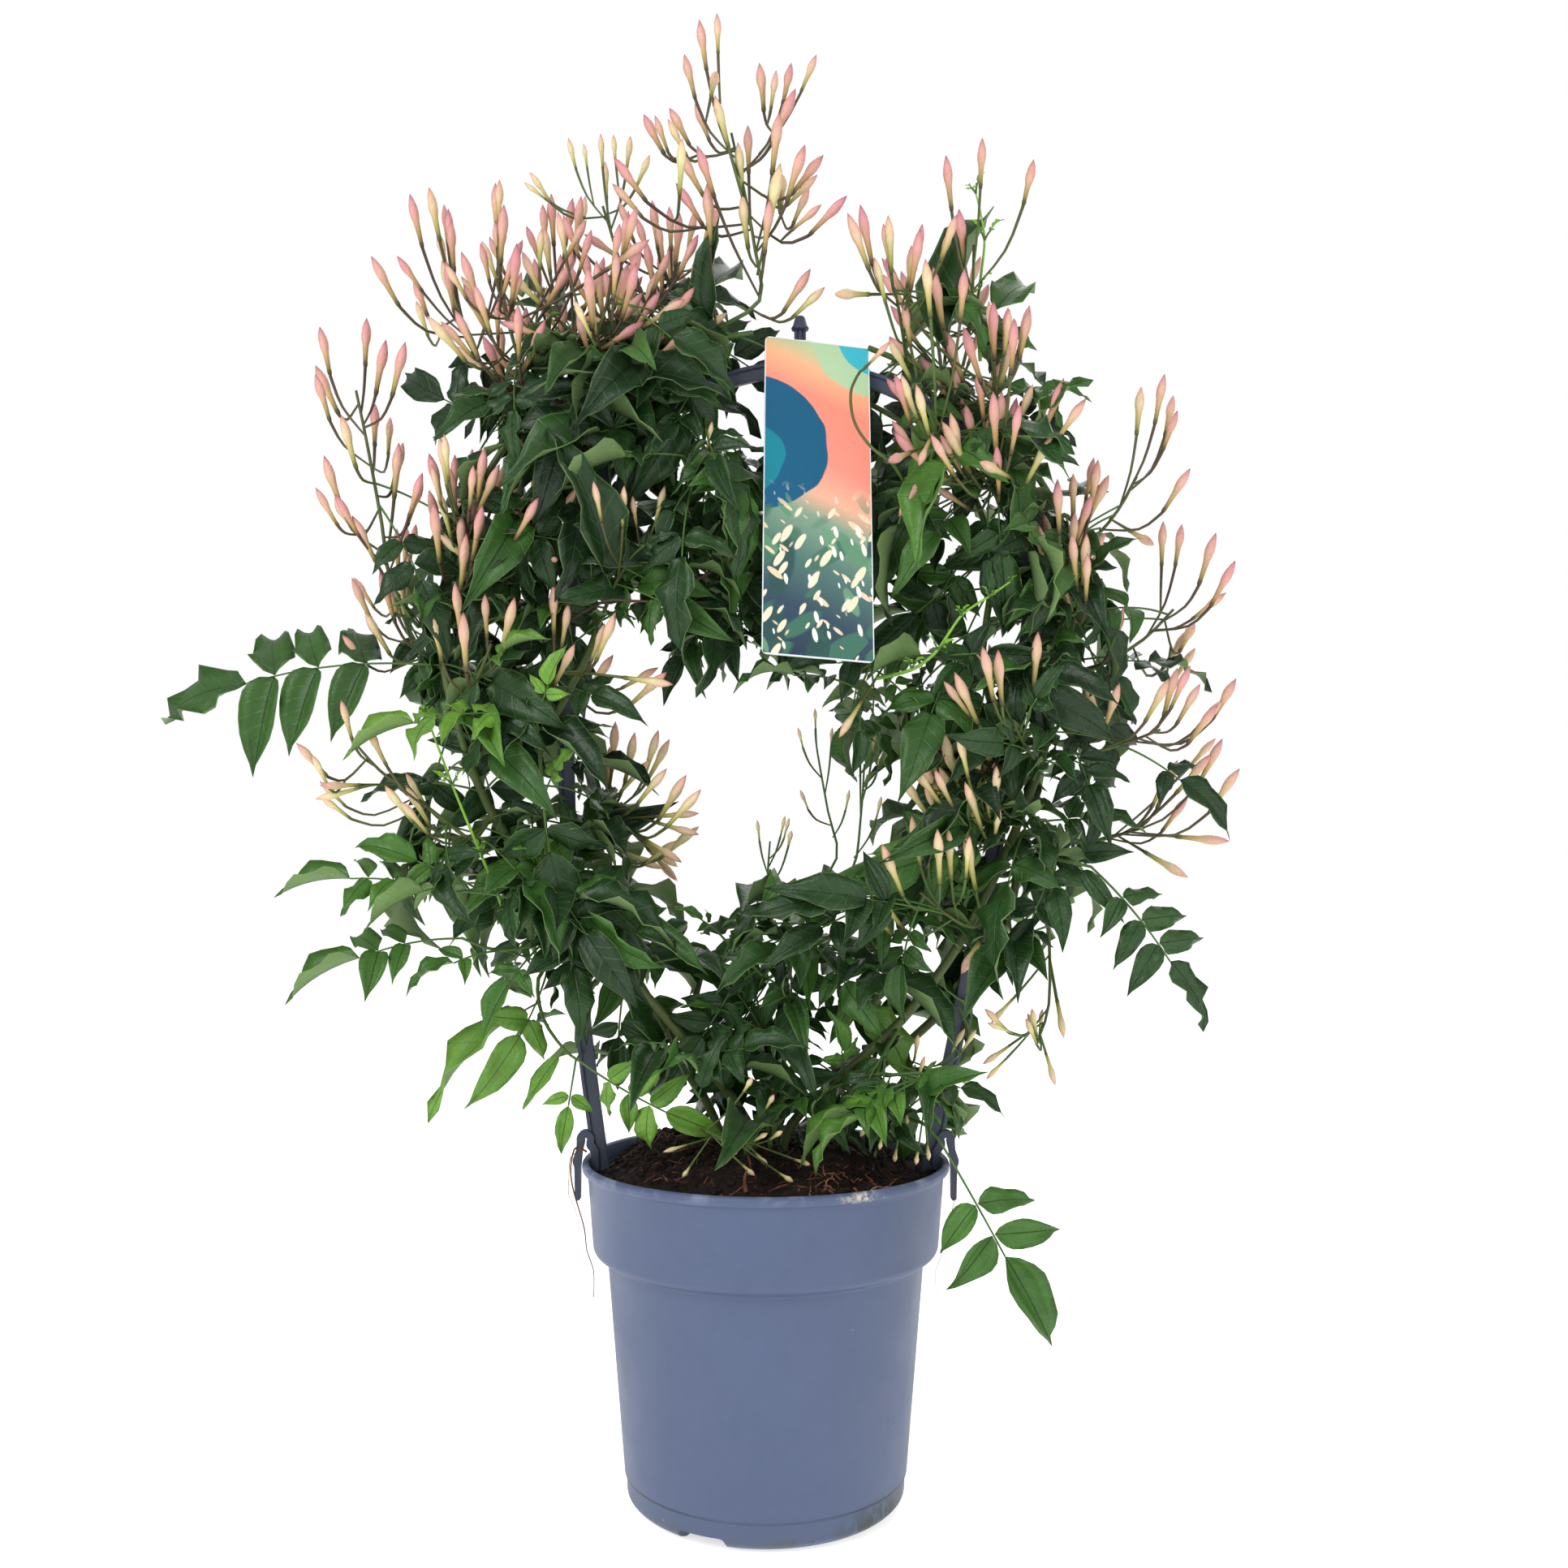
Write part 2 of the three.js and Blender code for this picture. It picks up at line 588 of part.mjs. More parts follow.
function makeSoil(standing) {
  const { heel, shoulder, collar, mouth, wall, floor } = POT;
  const profile = [[0, floor + 2 + GAP], [heel - 5.4, floor + 2 + GAP], [heel - wall - 0.6, 8],
    [shoulder - wall - 0.6, 114.8], [collar - wall - 0.6, 119], [mouth - wall - 0.7, SOIL.edge]];
  for (const radius of [62, 40, 20, 0]) profile.push([radius, SOIL.middle]);
  const shape = new THREE.LatheGeometry(profile.map(([r, z]) => new THREE.Vector2(r, z)), SOIL.sides);
  shape.rotateX(Math.PI / 2);
  const points = shape.attributes.position;
  for (let i = 0; i < points.count; i++) {
    if (points.getZ(i) > SOIL.edge + 1) points.setZ(i, soilHeight(points.getX(i), points.getY(i)));
  }
  return standing.reduce((soil, hole) => soil.subtract(hole), solidFrom(shape));
}

// The hoop's middle line: two straight legs and half an ellipse, leaning a little to the right.
function hoopLine() {
  const { middle, spring, halfWidth, rise } = ARCH;
  const line = [[-72.5, 119], [-76.6, 152], [-84.4, 212], [-91, 290], [-93, 350]];
  const steps = 20;
  for (let i = 0; i <= steps; i++) {
    const angle = Math.PI * (1 - i / steps);
    line.push([middle + halfWidth * Math.cos(angle), spring + rise * Math.sin(angle)]);
  }
  line.push([117, 360], [106.5, 300], [92, 229], [78.4, 163], [76.4, 152], [72.5, 119]);
  return line.map(([x, z]) => new THREE.Vector3(x, 0, z));
}

// A flat strip along a line in the hoop's plane.
function strip(line) {
  const [w, d] = [STRIP.width / 2, STRIP.depth / 2];
  const section = [[-w, -d], [w, -d], [w, d], [-w, d]];
  const vertices = [];
  const faces = [];
  line.forEach((point, i) => {
    const [before, after] = [line[Math.max(i - 1, 0)], line[Math.min(i + 1, line.length - 1)]];
    const ahead = after.clone().sub(before).normalize();
    for (const [across, y] of section) {
      vertices.push(new THREE.Vector3(point.x + across * ahead.z, y, point.z - across * ahead.x));
    }
  });
  const n = section.length;
  for (let i = 0; i < line.length - 1; i++) {
    for (let k = 0; k < n; k++) {
      const [a, b] = [i * n + k, i * n + ((k + 1) % n)];
      faces.push([a, b, b + n], [a, b + n, a + n]);
    }
  }
  const end = (line.length - 1) * n;
  for (const [a, b, c] of [[0, 1, 2], [0, 2, 3]]) faces.push([a, c, b], [end + a, end + b, end + c]);
  return solidOf(vertices, faces);
}

// A clip that hooks a leg over the pot's lip: an arm outside, an eye above; side is -1 or 1.
function makeClip(side) {
  const { depth, inner, outer, arm, foot, top } = CLIP;
  const over = POT.height + 1.4;
  const hook = new THREE.Shape();
  const points = [[inner, over], [inner, top - 4], [inner + 3, top], [outer - 3.5, top], [outer, top - 4],
    [outer, foot], [outer - arm, foot], [outer - arm, over]];
  points.forEach(([x, z], i) => (i ? hook.lineTo(x, z) : hook.moveTo(x, z)));
  const shape = new THREE.ExtrudeGeometry(hook, { depth, bevelEnabled: false });
  shape.rotateX(Math.PI / 2).translate(0, depth / 2, 0);
  const eye = new THREE.CylinderGeometry(CLIP.eye, CLIP.eye, 2 * depth, 10);
  eye.translate((inner + outer) / 2 + 0.4, 0, top - 5);
  if (side < 0) [shape, eye].forEach((geometry) => geometry.rotateZ(Math.PI));
  return solidFrom(shape).subtract(solidFrom(eye));
}

function makeHoop() {
  const { width, depth, foot, top } = POST;
  const post = box(width, depth, top - foot + 1).translate(ARCH.middle, 0, (foot + top + 1) / 2);
  const knob = new THREE.CylinderGeometry(KNOB.crown, KNOB.radius, KNOB.height, 12).rotateX(Math.PI / 2);
  knob.translate(ARCH.middle, 0, top + KNOB.height / 2);
  return union([strip(hoopLine()), makeClip(-1), makeClip(1), solidFrom(post), solidFrom(knob)]);
}

// The picture card and, on its back, the sleeve that slips over the hoop's post.
function makeTag() {
  const { width, height, thickness, corner } = TAG;
  const card = new THREE.Shape();
  const [w, h] = [width / 2, height / 2];
  card.moveTo(-w + corner, -h);
  card.absarc(w - corner, -h + corner, corner, -Math.PI / 2, 0);
  card.absarc(w - corner, h - corner, corner, 0, Math.PI / 2);
  card.absarc(-w + corner, h - corner, corner, Math.PI / 2, Math.PI);
  card.absarc(-w + corner, -h + corner, corner, Math.PI, 1.5 * Math.PI);
  const cut = { depth: thickness, bevelEnabled: false, curveSegments: 3 };
  const sheet = new THREE.ExtrudeGeometry(card, cut);
  sheet.rotateX(Math.PI / 2).translate(0, thickness / 2, 0);
  const turns = [TAG_PLACE.pitch, TAG_PLACE.roll, TAG_PLACE.yaw].map(THREE.MathUtils.degToRad);
  const hung = new THREE.Matrix4().makeRotationFromEuler(new THREE.Euler(...turns, "ZXY"));
  hung.setPosition(TAG_PLACE.x, TAG_PLACE.y, TAG_PLACE.z);
  const ahead = box(2 * width, 20, 2 * height).translate(0, -10, 0).applyMatrix4(hung);
  const { front, back, low, high, play } = SLEEVE;
  const sleeve = box(SLEEVE.width, back - front, high - low);
  sleeve.translate(ARCH.middle, (front + back) / 2, (low + high) / 2);
  const slot = box(POST.width + 2 * play, POST.depth + 2 * play, 20).translate(ARCH.middle, 0, high);
  const loop = solidFrom(sleeve).subtract(solidFrom(slot)).subtract(solidFrom(ahead));
  return solidFrom(sheet.applyMatrix4(hung)).add(loop);
}

// ---------------------------------------------------------------- leaves and buds

// A leaf bends along a circle from its base to its tip, its face turned to the normal.
function leafFrame(base, tip, roll) {
  const chord = tip.clone().sub(base);
  const length = chord.length();
  chord.normalize();
  const normal = new THREE.Vector3(0, -0.7, 0.72);
  normal.addScaledVector(chord, -normal.dot(chord)).normalize().applyAxisAngle(chord, roll);
  const side = normal.clone().cross(chord);
  const radius = length / (2 * Math.sin(LEAF.arch / 2));
  const lift = radius * Math.cos(LEAF.arch / 2);
  return (u, v, w) => {
    const angle = (u - 0.5) * LEAF.arch;
    const bow = normal.clone().multiplyScalar(Math.cos(angle)).addScaledVector(chord, Math.sin(angle));
    const point = base.clone().addScaledVector(chord, length / 2 + radius * Math.sin(angle));
    point.addScaledVector(normal, radius * Math.cos(angle) - lift);
    return point.addScaledVector(side, v).addScaledVector(bow, w - LEAF.cup * v * v);
  };
}

// One leaflet's edge, from the rachis out to its tip and back: how far along and how wide.
const LEAFLET_EDGE = [[0.42, 0.2], [1, 0], [0.4, -0.2]];
const TERMINAL_EDGE = [[0.3, 0.19], [0.66, 0.15]];

// The outline of one side of a compound leaf, in fractions of its length, from base to tip.
function leafEdge(pairs) {
  const neck = LEAF.rachis / 2;
  const terminal = pairs ? 0.42 + 0.06 * pairs : 0.12;
  const edge = [];
  for (let i = 0; i < pairs; i++) {
    const seat = terminal - 0.14 * (pairs - i) + 0.04;
    const long = 0.3 - 0.03 * (pairs - 1 - i);
    edge.push({ u: seat - 0.02, neck });
    for (const [far, wide] of LEAFLET_EDGE) {
      edge.push({ u: seat + long * (0.42 * far - 0.9 * wide), wide: long * (0.9 * far + 0.42 * wide) });
    }
  }
  edge.push({ u: terminal, neck });
  for (const [far, wide] of TERMINAL_EDGE) {
    edge.push({ u: terminal + (1 - terminal) * far, wide: (1 - terminal) * wide * (pairs ? 1 : 0.85) });
  }
  return edge;
}

function makeLeaf(base, tip, pairs, roll) {
  const frame = leafFrame(base, tip, roll);
  const length = base.distanceTo(tip);
  const edge = leafEdge(pairs).map(({ u, wide, neck }) => [u, neck ?? wide * length]);
  const outline = [[0, -LEAF.petiole / 2], ...edge.map(([u, v]) => [u, -v]), [1, 0],
    ...edge.reverse(), [0, LEAF.petiole / 2]].map(([u, v]) => new THREE.Vector2(u * length, v));
  const n = outline.length;
  const half = LEAF.thickness / 2;
  const top = outline.map(({ x, y }) => frame(x / length, y, half));
  const bottom = outline.map(({ x, y }) => frame(x / length, y, -half));
  const faces = [];
  for (const [a, b, c] of THREE.ShapeUtils.triangulateShape(outline, [])) {
    faces.push([a, b, c], [a + n, c + n, b + n]);
  }
  for (let i = 0; i < n; i++) {
    const j = (i + 1) % n;
    faces.push([j, i, i + n], [j, i + n, j + n]);
  }
  return solidOf([...top, ...bottom], faces);
}

// A stalk that curves up from its seat to the calyx, and the way and length of its bud.
function budLine(seat, tip, size) {
  const away = tip.clone().sub(seat);
  const reach = away.length();
  const lift = away.z > 0 ? 0.8 : 0;
  const ahead = away.normalize().add(new THREE.Vector3(0, 0, lift)).normalize();
  const length = Math.min(BUD.length * size, 0.75 * reach);
  const calyx = tip.clone().addScaledVector(ahead, -length);
  const bend = calyx.clone().addScaledVector(ahead, -0.45 * calyx.distanceTo(seat));
  const middle = seat.clone().lerp(calyx, 0.5).lerp(bend, 0.5);
  return { line: [seat, middle, calyx], ahead, length };
}

function makeBud(seat, tip, size) {
  const { line, length } = budLine(seat, tip, size);
  const widest = line[2].clone().lerp(tip, 0.6);
  const ends = [BUD.neck * Math.sqrt(size), (BUD.girth * length) / BUD.length, 0];
  if (seat.distanceTo(line[2]) < BUD.straight) {
    return tube([seat, line[2], widest, tip], [BUD.stalk, ...ends], 3);
  }
  return tube([...line, widest, tip], [BUD.root, BUD.stalk, ...ends], 3);
}

// ---------------------------------------------------------------- growing clear of what is there

const placed = [];

function place(solid, owner) {
  placed.push({ solid, owner, box: solid.boundingBox() });
}

// Whether a solid keeps its distance from all that is placed, but for what its own node holds.
function isClear(solid, owner) {
  const own = solid.boundingBox();
  return placed.every((other) => {
    if (other.owner === owner) return true;
    const apart = [0, 1, 2].some(
      (i) => own.min[i] - GAP > other.box.max[i] || other.box.min[i] - GAP > own.max[i]);
    return apart || solid.minGap(other.solid, GAP) >= 0.9 * GAP;
  });
}

// Cubic millimetres of a root that may lie in its own stem, and in the rest of its own node.
const BUD_ROOT = [1.2, 0.1];
const LEAF_ROOT = [2, 0.5];

// Whether a solid runs through its own node by more than its root does.
function crosses(solid, node, [inStem, inRest]) {
  return node.pieces.some((piece, i) => piece.intersect(solid).volume() > (i ? inRest : inStem));
}

// The shifts in depth, and for leaves the turns about their length, that are tried in turn.
const STEM_SHIFTS = [0, -7, 7, -14, 14, -21, 21, -30, 30];
const BUD_SHIFTS = [0, -7, 7, -14, 14, -22, 22, -32, 32];
const LEAF_POSES = [];
for (const shift of [0, -12, 12, -24, 24, -38, 38]) {
  for (const roll of [0, 0.6, -0.6]) LEAF_POSES.push({ shift, roll });
}

// Moves a place along the line of sight, so that the front elevation keeps it.
function deeper(point, shift) {
  const scale = (EYE.distance + point.y + shift) / (EYE.distance + point.y);
  const z = EYE.height + (point.z - EYE.height) * scale;
  return new THREE.Vector3(point.x * scale, point.y + shift, z);
}

// Each plant node: the line of its stem, the stem's radius, and the pieces it is joined from.
const nodes = new Map();

function growVine(name) {
  const { line, radii } = VINES[name];
  const path = spline(line.map((p) => at(...p)));
  const radius = (i) => radii[0] + (radii[1] - radii[0]) * (i / (path.length - 1));
  const solid = tube(path, path.map((_, i) => (i === path.length - 1 ? 0 : radius(i))), 5);
  place(solid, name);
  nodes.set(name, { path, radius, pieces: [solid] });
}

// The hole that a vine stands in, a little wider and deeper than its foot.
function soilHole(name) {
  const { path, radius } = nodes.get(name);
  const foot = path.slice(0, 4);
  foot[0] = foot[0].clone().addScaledVector(foot[1].clone().sub(foot[0]).normalize(), -2 * GAP);
  return tube(foot, foot.map((_, i) => radius(i) + 1.3 * GAP), 5);
}

function legSlot(side) {
  return solidFrom(box(24, STRIP.depth + 2 * GAP, 80).translate(side * (68.2 + 12), 0, 118 + 40));
}

// A stem leaves its vine square to it, with a gap, and then runs from place to place.
function stemLine(entry, shift) {
  const vine = nodes.get(entry.on);
  const places = entry.stem.map(([x, z, y]) => at(x, z, y + shift));
  let near = 1;
  for (let i = 1; i < vine.path.length - 1; i++) {
    if (vine.path[i].distanceTo(places[0]) < vine.path[near].distanceTo(places[0])) near = i;
  }
  const seat = vine.path[near];
  const ahead = vine.path[near + 1].clone().sub(vine.path[near - 1]).normalize();
  const out = places[0].clone().sub(seat);
  out.addScaledVector(ahead, -out.dot(ahead)).normalize();
  const foot = seat.clone().addScaledVector(out, vine.radius(near) + GAP);
  return [foot, foot.clone().addScaledVector(out, SHOOT.straight), ...places];
}

function growStem(name) {
  const entry = GROWTH[name];
  const radius = entry.size < 0.5 ? SHOOT.slim : SHOOT.radius;
  for (const shift of STEM_SHIFTS) {
    const path = stemLine(entry, shift);
    const last = path.length - 1;
    const radii = path.map((_, i) => (i === last ? 0 : radius * (1 - (SHOOT.taper * i) / last)));
    const solid = tube(path, radii, 3);
    if (!isClear(solid, name)) continue;
    place(solid, name);
    nodes.set(name, { path, pieces: [solid] });
    return;
  }
  throw new Error(name + " has no clear way for its stem");
}

// Where a cyme leaves the stem: on the stretch whose distance suits a stalk and a bud, and at a
// share of it that differs from cyme to cyme.
function seatOf(line, tip, size, cyme) {
  const wanted = BUD.reach * Math.sqrt(size);
  const share = 0.12 + 0.68 * ((cyme * 0.618) % 1);
  const misfit = (seat) => Math.abs(seat.distanceTo(tip) - wanted) + (seat.z > tip.z ? 12 : 0);
  const seats = line.slice(1, -1).map((point, i) => point.clone().lerp(line[i + 2], share));
  return seats.reduce((best, seat) => (misfit(seat) < misfit(best) ? seat : best));
}

// The first bud of a cyme springs from the stem, and the others from the middle of its stalk.
function growBuds(name) {
  const { cymes, size = 1 } = GROWTH[name];
  const node = nodes.get(name);
  const depth = node.path[node.path.length - 1].y;
  cymes.forEach((cyme, order) => {
    let fork = null;
    for (let i = 0; i < cyme.length; i += 2) {
      const scale = size * draw(0.92, 1.06);
      const first = at(cyme[i], cyme[i + 1], depth + draw(-32, 32) * size);
      for (const shift of BUD_SHIFTS) {
        const tip = deeper(first, shift);
        const seat = fork ?? seatOf(node.path, tip, size, order);
        const solid = makeBud(seat, tip, scale);
        if (!isClear(solid, name) || crosses(solid, node, BUD_ROOT)) continue;
        node.pieces.push(solid);
        place(solid, name);
        if (!fork) {
          const [, middle, calyx] = budLine(seat, tip, scale).line;
          fork = middle.lerp(calyx, 0.3);
        }
        break;
      }
    }
  });
}

// A leaf is tried in one pose after another until it clears the rest of the plant.
function growLeaf(name, base, tip, pairs) {
  const node = nodes.get(name);
  const roll = draw(-0.45, 0.45);
  for (const pose of LEAF_POSES) {
    const solid = makeLeaf(base, deeper(tip, pose.shift), pairs, roll + pose.roll);
    if (!isClear(solid, name) || crosses(solid, node, LEAF_ROOT)) continue;
    node.pieces.push(solid);
    place(solid, name);
    return;
  }
}

function growLeaves(name) {
  const { path } = nodes.get(name);
  const depth = path[path.length - 1].y;
  for (const [fraction, x, z, pairs, y] of GROWTH[name].leaves) {
    growLeaf(name, along(path, Math.min(fraction, 0.99)), at(x, z, depth + y), pairs);
  }
}

// Opposite leaves straight on a vine, each pair turned a quarter from the last.
function growVineLeaves(name) {
  const { path } = nodes.get(name);
  const { from, to, pairs, length } = VINE_LEAVES[name];
  for (let i = 0; i < pairs; i++) {
    const fraction = from + ((to - from) * (i + 0.5)) / pairs;
    const seat = along(path, fraction);
    const ahead = along(path, fraction + 0.02).sub(along(path, fraction - 0.02)).normalize();
    const outward = new THREE.Vector3(seat.x - ARCH.middle, 0, 0.4 * (seat.z - 330)).normalize();
    for (const side of [1, -1]) {
      const across = i % 2 ? new THREE.Vector3(0, side, 0) : outward.clone().multiplyScalar(side);
      const reach = across.addScaledVector(ahead, 0.5).addScaledVector(outward, 0.35);
      reach.add(new THREE.Vector3(draw(-0.3, 0.3), draw(-0.3, 0.3), -draw(0.1, 0.7))).normalize();
      const tip = seat.clone().addScaledVector(reach, length * draw(0.8, 1.2));
      growLeaf(name, seat, tip, 1);
    }
  }
}

// ---------------------------------------------------------------- the whole plant

const pot = makePot();
const hoop = makeHoop();
const tag = makeTag();
place(pot, "pot");
place(hoop, "hoop");
place(tag, "tag");

Object.keys(VINES).forEach(growVine);
const soil = makeSoil([...Object.keys(VINES).map(soilHole), legSlot(-1), legSlot(1)]);
place(soil, "soil");
const { low, high } = OPENING;
const middle = low.map((v, i) => (v + high[i]) / 2);
place(solidFrom(box(...low.map((v, i) => high[i] - v)).translate(...middle)), "opening");

Object.keys(GROWTH).forEach(growStem);
Object.keys(GROWTH).forEach(growBuds);
Object.keys(GROWTH).forEach(growLeaves);
Object.keys(VINE_LEAVES).forEach(growVineLeaves);

addMesh("pot", pot, ...COLOURS.pot);
addMesh("soil", soil, ...COLOURS.soil);
addMesh("hoop", hoop, ...COLOURS.hoop);
addMesh("tag", tag, ...COLOURS.tag);
for (const [name, { pieces }] of nodes) {
  const colour = name.startsWith("spray") ? COLOURS.bud : COLOURS.leaf;
  addMesh(name, wholeOf(union(pieces)), ...colour);
}

export default root;
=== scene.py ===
# Pink jasmine trained round a plastic hoop in its nursery pot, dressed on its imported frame.
# The plant's plan is in millimetres, and MM brings it to the metres of the meshes.
import math
import random
from types import SimpleNamespace as Named

import bmesh
import bpy
from mathutils import Matrix, Vector, noise
from mathutils.kdtree import KDTree


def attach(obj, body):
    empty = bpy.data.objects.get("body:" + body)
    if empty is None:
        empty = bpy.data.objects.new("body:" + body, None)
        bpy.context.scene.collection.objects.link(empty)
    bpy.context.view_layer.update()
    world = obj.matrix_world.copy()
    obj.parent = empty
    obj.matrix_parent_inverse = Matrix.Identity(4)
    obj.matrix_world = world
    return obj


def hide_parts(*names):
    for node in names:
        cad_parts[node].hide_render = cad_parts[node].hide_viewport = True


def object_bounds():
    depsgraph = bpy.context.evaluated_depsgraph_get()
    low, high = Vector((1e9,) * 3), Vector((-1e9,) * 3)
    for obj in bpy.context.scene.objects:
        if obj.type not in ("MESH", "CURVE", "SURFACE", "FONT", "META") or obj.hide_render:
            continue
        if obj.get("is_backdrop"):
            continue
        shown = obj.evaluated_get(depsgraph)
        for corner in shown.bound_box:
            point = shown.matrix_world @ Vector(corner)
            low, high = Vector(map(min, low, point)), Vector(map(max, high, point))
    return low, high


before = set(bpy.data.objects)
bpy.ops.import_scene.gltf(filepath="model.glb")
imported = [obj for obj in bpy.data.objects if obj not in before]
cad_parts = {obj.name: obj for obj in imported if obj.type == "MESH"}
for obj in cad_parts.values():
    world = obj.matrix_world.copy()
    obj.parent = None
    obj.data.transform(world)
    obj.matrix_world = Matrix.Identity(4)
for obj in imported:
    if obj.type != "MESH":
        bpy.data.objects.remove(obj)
cad_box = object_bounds()
MM = 0.001


# -------------------- driving dimensions

# The pot's radii at its foot, the heel above it, the seam, the shoulder, the collar, the mouth and
# the lip, and then its wall, its raised floor and the round pad under its middle.
POT = Named(height=157.2, foot=56, heel=64.2, seam=64.6, shoulder=73.3, collar=79.9, mouth=82.4, lip=85,
    wall=1.6, floor=3.5, pad=14)
NOTCH = Named(count=3, first=-26.2, width=23, height=6.4, deep=18)
DRAIN = Named(count=6, radius=4, circle=36)
SOIL = Named(edge=149.5, middle=161, lump=(-52, 44, 9, 22))
STRIP = Named(width=7.5, depth=3, rail=1.8, groove=0.8)
ARCH = Named(middle=16, spring=416, half_width=108, rise=108)
CLIP = Named(depth=5, inner=78, outer=88.8, arm=2.7, foot=137, top=170)
POST = Named(width=5.4, depth=2.8, foot=523, top=542)
KNOB = Named(radius=4.1, crown=1.9, height=6.8)
TAG = Named(width=48.8, height=163, thickness=0.8, middle=(23, -35, 457.5), pitch=-19.7, roll=4, yaw=10.2)
SHOOT = Named(radius=1.15, slim=0.8, taper=0.45, straight=2.5, gap=0.35)
LEAF = Named(thickness=0.7, rachis=1.1, arch=0.95, cup=0.012)
BUD = Named(length=25, girth=2.35, reach=43, small=8.5, plump=1.7)

# The height of the wreath's middle.
WREATH_MIDDLE = 330

# The eye that the plant's places are read from: this far before the hoop, and this high.
EYE = Named(distance=700, height=297)
# The picture: its side in pixels, the focal length in pixels, and the pixel straight ahead.
PICTURE = Named(side=1932, focus=1850, ahead_x=943.5, ahead_y=1055)
SENSOR = 36


# -------------------- the plant's plan

# The main stems: their radii at foot and end, and their lines, x, z, y by place, from the soil up.
VINES = {
    "vine_left_outer": {"radii": [2.5, 1.3], "line": [-6, 139, 4, -8, 172, 2, -54, 230, -11, -92, 272, -15,
      -126, 314, -13, -145, 363, -7, -152, 410, 0, -140, 454, 5, -117, 494, 7, -84, 521, 4, -44, 534, -7,
      -6, 541, -11]},
    "vine_left_inner": {"radii": [2.2, 1.2], "line": [-18, 141, 16, -22, 170, 18, -46, 216, 13,
      -74, 262, 12, -101, 300, 11, -107, 338, 1, -92, 374, -10, -79, 404, -6, -90, 434, 9, -100, 462, 8,
      -94, 484, 1, -70, 497, -10, -44, 503, -8, -20, 514, -7]},
    "vine_right_outer": {"radii": [2.5, 1.3], "line": [8, 140, -6, 12, 172, -8, 59, 216, -13, 93, 261, -16,
      120, 318, -13, 133, 359, -8, 143, 410, 0, 137, 455, 8, 114, 490, 11, 82, 518, 9, 48, 534, -5]},
    "vine_right_inner": {"radii": [2.4, 1.2], "line": [19, 140, 15, 24, 170, 16, 64, 208, 14, 97, 240, 13,
      114, 272, 9, 117, 306, 0, 112, 345, -11, 101, 385, -7, 105, 422, 3, 102, 452, 7, 88, 480, 8,
      66, 498, 9, 44, 510, 9]},
    "vine_centre": {"radii": [1.6, 0.9], "line": [3, 142, 25, 8, 187, 26, 9, 232, 22, 15, 262, 19,
      27, 280, 16]},
}

